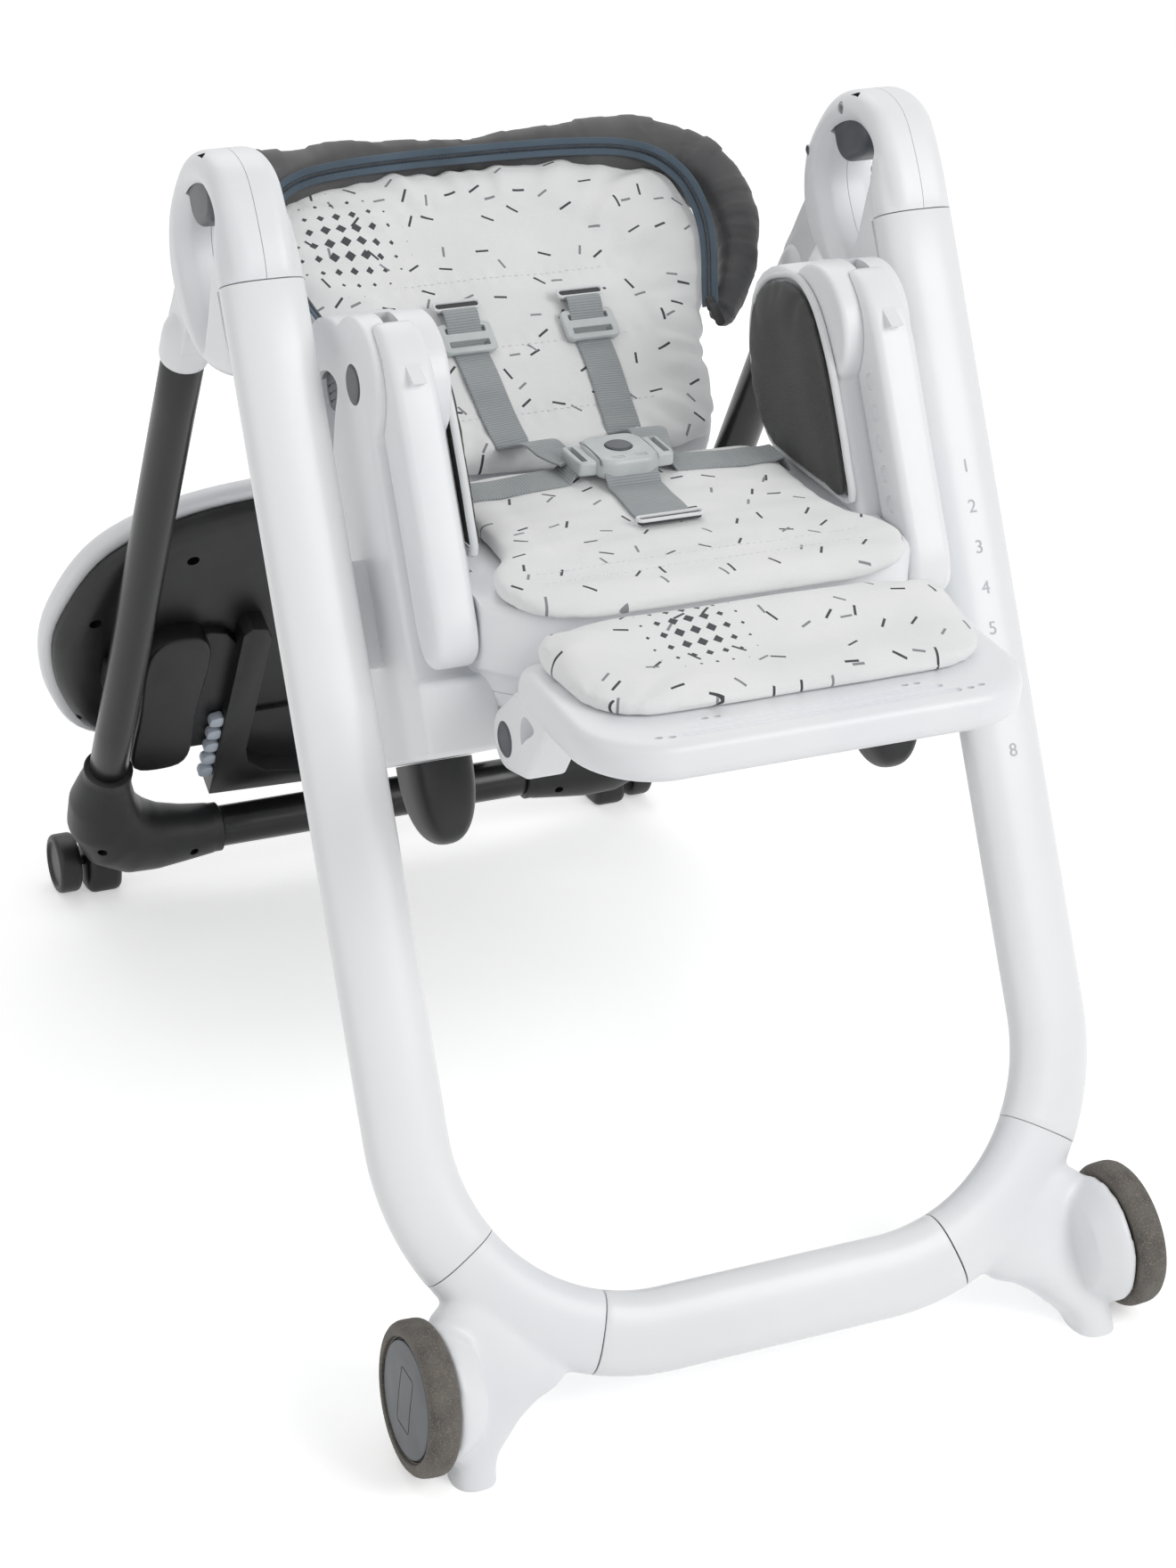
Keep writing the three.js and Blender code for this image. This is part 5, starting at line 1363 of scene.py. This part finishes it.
def stitches(name, path, ups, length=0.0032, gap=0.0016, radius=0.00045):
    """A row of short raised threads, all in one piece."""
    mesh, walked, due = bmesh.new(), 0.0, 0.0
    for (a, b), facing in zip(zip(path, path[1:]), ups):
        run = b - a
        while due < walked + run.length:
            spot = a + run * ((due - walked) / run.length)
            aside = facing.cross(run)
            turn = working_frame(spot, run.normalized(), aside.normalized(), run.cross(aside).normalized())
            bmesh.ops.create_icosphere(mesh, subdivisions=1, radius=1,
                                       matrix=turn @ Matrix.Diagonal((length / 2, radius, radius, 1)))
            due += length + gap
        walked += run.length
    data = bpy.data.meshes.new(name)
    mesh.to_mesh(data)
    mesh.free()
    piece = bpy.data.objects.new(name, data)
    bpy.context.scene.collection.objects.link(piece)
    return piece


def sew(name, piece, spots, direction, body):
    row = [dropped(piece, spot, direction, 0.0001) for spot in spots]
    threads = stitches(name, [spot for spot, _ in row], [facing for _, facing in row])
    settle(threads, THREAD, body, angle=60)


print("strip tools ready")

# %% [markdown]
# ## Seat and legrest cushions
# The cover lies in the tub, spreads over its front edge and goes on down the legrest. It is sewn across at
# the front of the seat, so that it can fold there when the legrest drops.

# %% Seat cushion
DOWN = Vector((0, 0, -1))
half_seat = [(0.06, -0.2295), (0.1, -0.2285), (0.124, -0.22), (0.1355, -0.2), (0.1345, -0.172), (0.1195, -0.15),
             (0.1145, -0.125), (0.1145, -0.08), (0.1145, -0.045), (0.109, -0.0315), (0.09, -0.0285), (0.04, -0.028)]
seat_plan = smooth_outline([(0, -0.2295), *mirrored(half_seat, (0, -0.028))], 150)
seat_pad = flat_plate("seat_cushion", seat_plan, 0.4988, 0.5115, 0.004, 3)
seat_back = SEAT.inverted()
FRONT_SEAMS = (-0.186, -0.2005)


def seat_seams(spot):
    x, y, z = seat_back @ spot
    across = any(abs(y - seam) < 0.0035 for seam in FRONT_SEAMS)
    along = abs(abs(x) - 0.088) < 0.0034 and -0.176 < y < -0.04
    crotch = abs(x) < 0.021 and abs(y + 0.139) < 0.004
    return z < 0.5005 or across or along or crotch


puff(seat_pad, 0.0062, 0.0045, held=seat_seams)
for corner in seat_pad.data.vertices:
    y, z = corner.co.y - SEAT.translation.y, corner.co.z
    fall = min(max((-0.196 - y) / 0.038, 0), 1)
    over = min(max((-0.216 - y) / 0.018, 0), 1)
    corner.co.z = 0.4985 + (z - 0.4985) * (1 - 0.42 * fall ** 2) - 0.006 * over ** 2
ruffle(seat_pad, lambda spot: 0.0011 * ridges(spot, seat_back, (26, 60, 0), 3.0) if spot.z > 0.502 else 0.0)
lay_weave(seat_pad, SEAT)
settle(seat_pad, COVER, "seat", ["seat_pad"], 80)
print("seat cushion", len(seat_pad.data.polygons))

# %% Legrest cushion
half_leg = [(0.06, -0.3365), (0.1, -0.334), (0.122, -0.323), (0.1335, -0.301), (0.1355, -0.275), (0.136, -0.252),
            (0.133, -0.2425), (0.12, -0.2405), (0.06, -0.2402)]
leg_plan = smooth_outline([(0, -0.3365), *mirrored(half_leg, (0, -0.2402))], 130)
leg_pad = flat_plate("legrest_cushion", leg_plan, 0.4806, 0.4915, 0.0035, 3)
puff(leg_pad, 0.0055, 0.0045, held=lambda spot: spot.z < 0.4822)
for corner in leg_pad.data.vertices:
    y, z = corner.co.y - SEAT.translation.y, corner.co.z
    rise = min(max((y + 0.305) / 0.062, 0), 1)
    corner.co.z = z + 0.0115 * rise * rise * (3 - 2 * rise) * max(z - 0.4815, 0) / 0.0125
ruffle(leg_pad, lambda spot: 0.0012 * ridges(spot, seat_back, (22, 34, 0), 9.0) if spot.z > 0.485 else 0.0)
lay_weave(leg_pad, SEAT)
settle(leg_pad, COVER_PATCH, "legrest", ["legrest_pad"], 80)
THREAD = hard_finish("white_polyester_thread", "#e9ebed", "#d9dcdf", 200, Roughness=0.7, Sheen_Weight=0.2)
for i, seam in enumerate(FRONT_SEAMS):
    for half, word in ((-1, "left"), (1, "right")):
        spots = [SEAT @ Vector((half * x / 1000, seam, 0.53)) for x in range(4, 116, 4)]
        sew(f"{word}_seat_stitches_{i + 1}", seat_pad, spots, DOWN, "seat")
print("legrest cushion", len(leg_pad.data.polygons))

# %% [markdown]
# ## Arm pads
# A thin D-shaped pad of charcoal cloth lines each side, bound with white piping along its edge.

# %% Arm pads and their piping
pad_edge = [(-0.034, -0.186), (-0.0368, -0.162), (-0.0375, -0.13), (-0.0355, -0.09), (-0.0265, -0.055), (-0.01, -0.036),
            (0.012, -0.0295), (0.037, -0.0285), (0.057, -0.038), (0.071, -0.058), (0.0765, -0.085), (0.0755, -0.108),
            (0.066, -0.132), (0.04, -0.149), (0.015, -0.163), (-0.01, -0.176)]
pad_line = smooth_outline(pad_edge, 96)
middle_v, middle_u = (sum(values) / len(pad_line) for values in zip(*pad_line))
inset_line = [(middle_v + (v - middle_v) * 0.945, middle_u + (u - middle_u) * 0.96) for v, u in pad_line]
arm_pad = plate("arm_pad", inset_line, 0.1252, 0.1318, LEG, edge=0.0018, segments=2)
puff(arm_pad, 0.0034, 0.0042, held=lambda spot: spot.x > 0.1309)
leg_frame_back = LEG.inverted()
ruffle(arm_pad, lambda spot: 0.0008 * ridges(spot, leg_frame_back, (0, 30, 16), 5.0) if spot.x < 0.127 else 0.0)
lay_weave(arm_pad, LEG @ UPRIGHT_SIDE)
arm_pads = settle_pair(arm_pad, DARK_CLOTH, "seat", "arm_pad", 80)
piping_path = [LEG @ Vector((0.1318, v, u)) for v, u in pad_line]
piping = strip("arm_pad_piping", piping_path, [SIDEWAYS] * len(pad_line), 0.0022, 0.0026, 10, 2.2, closed=True)
settle_pair(piping, PIPING_CLOTH, "seat", angle=60)
print("arm pads", len(arm_pad.data.polygons))

# %% [markdown]
# ## Back cushion
# The back cushion is arched like the board behind it. A seam runs round its middle, so the rim stands up
# round the sitter. The cloth of the rim is gathered, which shows as short folds that point to the middle.

# %% Back cushion
PAD = [(0.1, 0.031), (0.114, 0.047), (0.121, 0.07), (0.125, 0.1), (0.1365, 0.132), (0.1525, 0.165), (0.161, 0.205),
       (0.1565, 0.243), (0.133, 0.2665), (0.085, 0.2755), (0.025, 0.2775)]
back_back = BACK.inverted()
BACK_SEAMS, SEAM_HALF = (0.062, 0.118, 0.176), 0.0036
back_pad = back_plate("back_cushion", arch(PAD, 150), -0.0012, 0.0145, 0.006, 4)
RIM_MIDDLE, RIM_WIDE, RIM_TALL = 0.139, 0.09, 0.096


def rim_reach(x, s):
    return (abs(x / RIM_WIDE) ** 2.6 + abs((s - RIM_MIDDLE) / RIM_TALL) ** 2.6) ** (1 / 2.6)


def back_seams(spot):
    x, s, n = back_back @ spot
    reach = rim_reach(x, s)
    across = reach < 0.93 and any(abs(s - seam) < SEAM_HALF for seam in BACK_SEAMS)
    return n < 0.0006 or (n > 0.004 and (abs(reach - 1) < 0.042 or across))


puff(back_pad, 0.0094, 0.0046, held=back_seams)


def back_folds(spot):
    x, s, n = back_back @ spot
    reach, turn = rim_reach(x, s), math.atan2(s - RIM_MIDDLE, x)
    if n < 0.004:
        return 0.0
    folds = noise.noise(Vector((turn * 9, reach * 1.3, 2.0))) * 0.0042 * min(max((reach - 1.02) / 0.12, 0), 1)
    inner = noise.noise(Vector((x * 24, s * 38, 6.0))) * 0.0018
    nearness = max(0, 1 - min(abs(s - seam) for seam in BACK_SEAMS) / 0.012)
    puckers = abs(math.sin(x * 260)) * 0.0009 * nearness * (reach < 0.93)
    return folds + inner - puckers


ruffle(back_pad, back_folds)
lay_weave(back_pad, BACK)
settle(back_pad, COVER_BACK, "backrest", ["back_pad"], 80)
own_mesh(back_pad)
INTO_BACK = BACK.to_3x3() @ Vector((0, 0, -1))
for i, s in enumerate(BACK_SEAMS):
    spots = [BACK @ Vector((x / 1000, s, 0.04)) for x in range(-72, 73, 4)]
    sew(f"back_stitches_{i + 1}", back_pad, spots, INTO_BACK, "backrest")
print("back cushion", len(back_pad.data.polygons))

# %% [markdown]
# ## Hood
# A padded roll of dark nylon runs round the top of the back, widest at its upper corners, where the folded
# hood hangs down in a soft point. It could be a bevelled curve; ovals of changing size along a path shape
# the corners better. After the simulation, noise that is stretched across the roll puts in the gathers.

# %% Hood roll
NYLON = cloth_finish("dark_hood_nylon", "#515152", "#434345", 0.001, 0.00012, 0.1, 0.58)[0]
half_hood = [(0.151, 0.1305, 0.003, 0.0105, 0.0125), (0.1575, 0.137, 0.003, 0.0162, 0.0185),
             (0.166, 0.149, 0.004, 0.0195, 0.0215), (0.1775, 0.167, 0.004, 0.0235, 0.024),
             (0.187, 0.19, 0.004, 0.0255, 0.0258), (0.1918, 0.214, 0.003, 0.0265, 0.0265),
             (0.1895, 0.24, 0.002, 0.0262, 0.0265), (0.176, 0.264, 0.001, 0.0235, 0.025),
             (0.15, 0.278, 0.001, 0.0175, 0.0238), (0.112, 0.284, 0.002, 0.0135, 0.0225),
             (0.07, 0.2865, 0.003, 0.0118, 0.0222), (0.03, 0.2872, 0.003, 0.0112, 0.022)]
HOOD_STEPS = 61
stations = mirrored(half_hood, (0.0, 0.2873, 0.003, 0.0112, 0.022))
hood_places = resample([station[:3] for station in stations], HOOD_STEPS)
hood_sizes = resample([(*station[3:], 0) for station in stations], HOOD_STEPS)
stations = [(*place, *size[:2]) for place, size in zip(hood_places, hood_sizes)]
hood_rings = []
for i, (x, s, n, w, d) in enumerate(stations):
    along = Vector(stations[min(i + 1, HOOD_STEPS - 1)][:3]) - Vector(stations[max(i - 1, 0)][:3])
    across = along.normalized().cross(Vector((0, 0, 1))).normalized()
    hood_rings.append(oval((x, s, n), across, (0, 0, 1), w, d, 32, 2.8))
hood = loft("hood", hood_rings, BACK)
puff(hood, 0.006, 0.0055, held=lambda spot: (back_back @ spot).z < -0.018)
hood_path = KDTree(len(stations))
for i, (x, s, n, w, d) in enumerate(stations):
    hood_path.insert((x, s, n), i)
hood_path.balance()


def hood_folds(spot):
    local = back_back @ spot
    i = hood_path.find(local)[1]
    around = math.atan2(local.z, local.y - stations[i][1] + local.x * 0.2)
    gathers = noise.noise(Vector((i * 0.42, around * 0.35, 1.0))) * 0.0032
    creases = abs(noise.noise(Vector((local.x * 30, local.y * 30, local.z * 26)))) * -0.0026
    return gathers + creases


ruffle(hood, hood_folds)
lay_weave(hood, BACK)
settle(hood, NYLON, "backrest", ["hood"], 80)
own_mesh(hood)
print("hood", len(hood.data.polygons), "bounds",
      [round(max(abs((back_back @ v.co)[k]) for v in hood.data.vertices), 4) for k in range(3)])

# %% [markdown]
# A long zip joins the white cover to the hood. Its blue-grey tape shows all round, with a coil of fine teeth
# along the middle and a black pull at each end.

# %% Zip
half_zip = [(0.137, 0.1275, 0.0215), (0.1425, 0.146, 0.0238), (0.1495, 0.167, 0.0252), (0.1553, 0.19, 0.0262),
            (0.1572, 0.212, 0.0266), (0.1538, 0.237, 0.0266), (0.1405, 0.2575, 0.0262), (0.118, 0.2688, 0.0258),
            (0.083, 0.2738, 0.0255), (0.04, 0.2757, 0.0253)]
zip_path = resample(mirrored(half_zip, (0, 0.2759, 0.0253)), 90)
inward = [(Vector((0, 0.17, 0)) - p) for p in zip_path]
zip_ups = [(Vector((0, 0, 1)) + Vector((q.x, q.y, 0)).normalized() * 0.9).normalized() for q in inward]
turn_back = BACK.to_3x3()
tape = strip("zip_tape", [BACK @ p for p in zip_path], [turn_back @ q for q in zip_ups], 0.0062, 0.0009, 16, 5)
settle(tape, ZIP_TAPE, "backrest", angle=60)
ZIP_COIL, tree, main = new_finish("black_nylon_zip_coil", Roughness=0.4)
place = node(tree, "ShaderNodeAttribute", {"attribute_name": "weave"}).outputs["Vector"]
teeth = node(tree, "ShaderNodeTexWave", {"bands_direction": "Y"}, Vector=place, Scale=math.pi / 10 / 0.0014)
mottle(tree, main, "#3a434c", "#2b323a", 60, 2, 0.3, 0.7, place)
emboss(tree, main, teeth.outputs["Fac"], 0.0006, 0.9)
coil = strip("zip_coil", [BACK @ (p + q * 0.0009) for p, q in zip(zip_path, zip_ups)], [turn_back @ q for q in zip_ups],
             0.0016, 0.0011, 12, 2.4)
settle(coil, ZIP_COIL, "backrest", angle=60)
slider_body = plate("zip_slider", rounded_rectangle(-0.0035, -0.0055, 0.0035, 0.0055, 0.0022, 5), 0.0, 0.0042,
                    BACK @ Matrix.Translation((0.1366, 0.1268, 0.0215)), LYING_FLAT, 0.001, 2)
pull = plate("pull", rounded_rectangle(-0.0035, -0.021, 0.0035, -0.002, [0.003, 0.003, 0.0015, 0.0015], 5), 0.0035,
             0.0056,
             BACK @ Matrix.Translation((0.1366, 0.1268, 0.0215)), LYING_FLAT, 0.0007, 2)
weld(slider_body, pull)
pulls = settle_pair(slider_body, BLACK_ABS, "backrest", angle=30, name="zip_pull")
for piece in (tape, coil, *pulls):
    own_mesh(piece)
print("zip", round(length_of(zip_path), 3), "m long")

# %% [markdown]
# ## Harness
# A five-point harness of flat webbing: two shoulder straps come out of slots in the back cushion, two waist
# straps out of the sides, and a wide crotch strap out of the seat. They are flat ovals along a path that is
# dropped on to the cushions, because a voxel remesh would eat anything as thin as webbing.

# %% Laying a strap on the cushions
def laid_path(spots, lift, count, piece, direction):
    """Drops a smooth path on to the cushions and evens out its bumps, as a strap under slight pull does."""
    path = resample(spots, count)
    ups = []
    for i, spot in enumerate(path):
        path[i], facing = dropped(piece, spot, direction, lift)
        ups.append(facing)
    for _ in range(6):
        path = [path[0]] + [a * 0.25 + b * 0.5 + c * 0.25 for a, b, c in zip(path, path[1:], path[2:])] + [path[-1]]
        ups = [ups[0]] + [(a + b * 2 + c).normalized() for a, b, c in zip(ups, ups[1:], ups[2:])] + [ups[-1]]
    return path, ups


STRAP_HALF, STRAP_THICK = 0.0125, 0.0009
shoulder_top = [(0.0455, 0.1515, 0.012), (0.0455, 0.1485, 0.019), (0.0455, 0.143, 0.0245)]
shoulder_run = [(0.0452, 0.125, 0.04), (0.0445, 0.1, 0.04), (0.0435, 0.075, 0.04), (0.042, 0.05, 0.04),
                (0.0405, 0.035, 0.04)]
run_path = laid_path([BACK @ Vector(p) for p in shoulder_run], 0.0016, 30, back_pad, INTO_BACK)[0]
top_path = [BACK @ Vector(p) for p in shoulder_top]
low_path = [SEAT @ Vector(p) for p in ((0.0385, -0.016, 0.5245), (0.0355, -0.032, 0.5235), (0.0315, -0.044, 0.5232),
                                       (0.0285, -0.0515, 0.5235))]
shoulder_path = resample(top_path + run_path + low_path, 64)
face = turn_back @ Vector((0, 0, 1))
shoulder_ups = [face.lerp(Vector((0, 0, 1)), min(max((back_back @ p).y * -20 + 1.2, 0), 1)).normalized()
                for p in shoulder_path]
shoulder = strip("shoulder_strap", shoulder_path, shoulder_ups, STRAP_HALF, STRAP_THICK)
for side, each in zip(("right", "left"), (shoulder, twin(shoulder, "left_shoulder_strap"))):
    each.name = each.data.name = side + "_shoulder_strap"
    smooth(each, 60)
    each.data.materials.append(WEBBING)
    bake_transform(each)
    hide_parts(side + "_shoulder_strap")
print("shoulder straps", round(length_of(shoulder_path), 3), "m")

# %% Waist and crotch straps
def seat_spots(*spots):
    return [SEAT @ Vector(spot) for spot in spots]


waist_run = seat_spots((0.036, -0.057, 0.54), (0.05, -0.057, 0.54), (0.075, -0.0575, 0.54), (0.098, -0.058, 0.54),
                       (0.108, -0.0582, 0.54))
waist_path, waist_ups = laid_path(waist_run, 0.0015, 26, seat_pad, DOWN)
waist_path = [*seat_spots((0.029, -0.057, 0.5235), (0.0335, -0.057, 0.5225)), *waist_path[1:],
              *seat_spots((0.1155, -0.0584, 0.5145), (0.1195, -0.0585, 0.505))]
waist_ups = [Vector((0, 0, 1))] * 2 + waist_ups[1:] + [Vector((0.6, 0, 0.8)), Vector((0.95, 0, 0.3))]
waist = strip("waist_strap", waist_path, waist_ups, STRAP_HALF, STRAP_THICK)
settle_pair(waist, WEBBING, "seat", "waist_strap", 60)
crotch_run = seat_spots((0, -0.134, 0.54), (0, -0.12, 0.54), (0, -0.1, 0.54), (0, -0.086, 0.54))
crotch_path, crotch_ups = laid_path(crotch_run, 0.0015, 22, seat_pad, DOWN)
crotch_path = [*seat_spots((0, -0.1395, 0.505), (0, -0.138, 0.5125)), *crotch_path, *seat_spots((0, -0.079, 0.5235))]
crotch_ups = [Vector((0, -0.95, 0.3)), Vector((0, -0.6, 0.8))] + crotch_ups + [Vector((0, 0, 1))]
crotch = strip("crotch_strap", crotch_path, crotch_ups, 0.0188, 0.0010, 24, 8)
settle(crotch, WEBBING, "seat", ["crotch_strap"], 60)
print("waist and crotch straps done")

# %% [markdown]
# Light plastic parts join the straps: a buckle with a side loop for each shoulder and waist strap, and a
# two-bar adjuster on each shoulder strap. They are acetal, which is hard and slightly waxy.

# %% Buckle and adjusters
half_buckle = [(0.0135, -0.0812), (0.0205, -0.0765), (0.0225, -0.0665), (0.0232, -0.056), (0.0215, -0.0455),
               (0.0165, -0.0375)]
body_edge = smooth_outline([(0, -0.0815), *mirrored(half_buckle, (0, -0.0355))], 72)
buckle = flat_plate("buckle", body_edge, 0.5190, 0.5332, 0.004, 5)
wing = [(0.0205, -0.0735), (0.0335, -0.0725), (0.0345, -0.066), (0.0345, -0.0455), (0.0335, -0.0415), (0.0205, -0.0425)]
for side in (-1, 1):
    weld(buckle, flat_plate("wing", [(side * x, y) for x, y in wing][::side], 0.5206, 0.5306, 0.0022, 3))
    near, far = sorted((side * 0.0268, side * 0.0312))
    window = rounded_rectangle(near, -0.0705, far, -0.0445, 0.001, 4)
    carve(buckle, flat_plate("wing_slot", window, 0.5, 0.56, 0))
    near, far = sorted((side * 0.0196, side * 0.0206))
    split = rounded_rectangle(near, -0.078, far, -0.039, 0.0004, 2)
    carve(buckle, flat_plate("split", split, 0.5285, 0.56, 0))
    for y in (-0.0745, -0.0772):
        line = rounded_rectangle(side * 0.008 - 0.0045, y - 0.0006, side * 0.008 + 0.0045, y + 0.0006, 0.0005, 3)
        carve(buckle, flat_plate("grip_line", line, 0.5325, 0.56, 0))
BUCKLE = working_frame(SEAT @ Vector((0, -0.058, 0)), Vector((0, 0, 1)), Vector((1, 0, 0)), Vector((0, 1, 0)))
carve(buckle, rod("button_well", 0.0094, 0.5284, 0.56, 0, 0, BUCKLE, 40, 0))
settle(buckle, CLIP_ACETAL, "seat", ["buckle"], 35)
release_profile = rounded_profile([(0.0, 0.531), (0.009, 0.531), (0.009, 0.5338), (0.0078, 0.5345), (0.0, 0.5342)],
                                  [0, 0.0003, 0.0008, 0.0006, 0])
release = spun("buckle_button", release_profile, BUCKLE, 44)
settle(release, SLATE_ABS, "buckle_button", ["buckle_button"], 30)
adjuster_spot = min(range(len(shoulder_path)), key=lambda i: abs((back_back @ shoulder_path[i]).y - 0.124))
ADJUSTER = working_frame(shoulder_path[adjuster_spot] + face * 0.0004, SIDEWAYS, face.cross(SIDEWAYS).normalized(),
                         face)
adjuster = plate("adjuster", rounded_rectangle(-0.0195, -0.0125, 0.0195, 0.0125, 0.0045, 6), 0.0, 0.0044, ADJUSTER,
                 LYING_FLAT, 0.0016, 4)
for y in (-0.0058, 0.0058):
    carve(adjuster, plate("bar_slot", rounded_rectangle(-0.0145, y - 0.0026, 0.0145, y + 0.0026, 0.001, 4), -0.005,
                          0.01, ADJUSTER, LYING_FLAT, 0))
settle_pair(adjuster, CLIP_ACETAL, "backrest", angle=30)
print("buckle", len(buckle.data.polygons))

# %% [markdown]
# The strap slots are sewn holes with a stitched binding round them. A thin dark plate in each slit paints the shade
# inside the hole.

# %% Strap slots
def slot_binding(name, centre, frame_matrix, half):
    ring = [frame_matrix @ (Vector(centre) + Vector((x, y, 0)))
            for x, y in rounded_rectangle(-half, -0.0032, half, 0.0032, 0.0031, 6)]
    normal = frame_matrix.to_3x3() @ Vector((0, 0, 1))
    return strip(name, ring, [normal] * len(ring), 0.0011, 0.0013, 8, 2.2, closed=True)


binding = slot_binding("shoulder_slot_binding", (0.0455, 0.1505, 0.0225), BACK, 0.0165)
settle_pair(binding, PIPING_CLOTH, "backrest", angle=60)
# Painted shade: a dark plate inside the shoulder strap slit.
slit = back_plate("shoulder_slot", rounded_rectangle(0.0455 - 0.016, 0.1478, 0.0455 + 0.016, 0.1532, 0.0025, 5), 0.0205,
                  0.0222, 0.0003, 1)
settle_pair(slit, PAINTED_SHADE, "backrest")
binding = slot_binding("crotch_slot_binding", (0, -0.1395, 0.5168), SEAT, 0.0225)
settle(binding, PIPING_CLOTH, "seat", angle=60)
# Painted shade: a dark plate inside the crotch strap slit.
slit = flat_plate("crotch_slot", rounded_rectangle(-0.022, -0.1422, 0.022, -0.1368, 0.0025, 5), 0.5135, 0.5163, 0.0003,
                  1)
settle(slit, PAINTED_SHADE, "seat")
print("strap slots done")

# %% [markdown]
# ## Height scale
# Small pad-printed numbers on one leg show the seat's height. They are text turned into a mesh and laid on
# the front of the leg, one for every click of the slide.

# %% Numbers on the leg
CLICK = 0.0273
for i in range(8):
    start_fresh()
    bpy.ops.object.text_add()
    number = bpy.context.object
    number.name = f"height_number_{i + 1}"
    number.data.body = str(i + 1)
    number.data.size, number.data.extrude = 0.0125, 0.0001
    number.data.align_x, number.data.align_y = "CENTER", "CENTER"
    bpy.ops.object.convert(target="MESH")
    number.data.name = number.name
    u = -0.1733 - CLICK * i
    number.data.transform(working_frame(LEG @ Vector((LEG_X, -LEG_HALF_DEPTH - 0.0001, u)), SIDEWAYS, leg_up,
                                        -leg_back))
    settle(number, PRINT_GREY, "front_frame", angle=None)
print("numbers 1 to 8")

# %% [markdown]
# ## Floor and light
# The chair stands on a plain white floor. One large lamp from the front right, a weak one from the left and
# one from behind stand in for a studio's soft boxes, and a white world fills the shadows. The lamps are low
# enough that white plastic stays just under white. To the camera, and in gloss and glass, the floor glows a
# little, so that it meets the white background without an edge and still shows the chair's shadow.

# %% Floor
def seen_rays(tree):
    """1 for rays from the camera, from gloss and through glass, and 0 for the rest."""
    ray = node(tree, "ShaderNodeLightPath").outputs
    seen = maths(tree, "MAXIMUM", ray["Is Camera Ray"], ray["Is Glossy Ray"])[0]
    return maths(tree, "MAXIMUM", seen, ray["Is Transmission Ray"])[0]


start_fresh()
bpy.ops.mesh.primitive_plane_add(size=30)
floor = bpy.context.object
floor.name = floor.data.name = "floor"
STUDIO_PAPER, tree, main = new_finish("white_studio_paper", Roughness=0.95)
mottle(tree, main, "#ffffff", "#fdfdfd", 1)
FLOOR_GLOW = 0.4
glow = maths(tree, "MULTIPLY", seen_rays(tree), FLOOR_GLOW)[0]
main.inputs["Emission Color"].default_value = (1, 1, 1, 1)
tree.links.new(glow, main.inputs["Emission Strength"])
floor.data.materials.append(STUDIO_PAPER)
print("floor ready")

# %% Lamps and world
LAMP_AIM, WORLD_LIGHT = Vector((0, 0, 0.35)), 0.5
LAMPS = {"front_right": ((1.5, -2.3, 2.2), 36, 1.6), "left": ((-2.4, -1.2, 1.6), 7, 2.0),
         "behind": ((0.2, 1.8, 2.6), 14, 2.0)}
for name, (place, watts, size) in LAMPS.items():
    bpy.ops.object.light_add(type="AREA", location=place)
    lamp = bpy.context.object
    lamp.name = f"lamp_{name}"
    lamp.data.energy, lamp.data.size = watts, size
    lamp.rotation_euler = (LAMP_AIM - Vector(place)).to_track_quat("-Z", "Y").to_euler()
world = bpy.data.worlds.new("studio_white")
bpy.context.scene.world = world
world.use_nodes = True
tree, sky = world.node_tree, world.node_tree.nodes["Background"].inputs
sky["Color"].default_value = (1, 1, 1, 1)
bright = node(tree, "ShaderNodeMapRange", Value=seen_rays(tree), To_Min=WORLD_LIGHT, To_Max=1.0)
tree.links.new(bright.outputs[0], sky["Strength"])
bpy.context.scene.view_settings.view_transform = "Standard"
print("lamps", len(LAMPS))
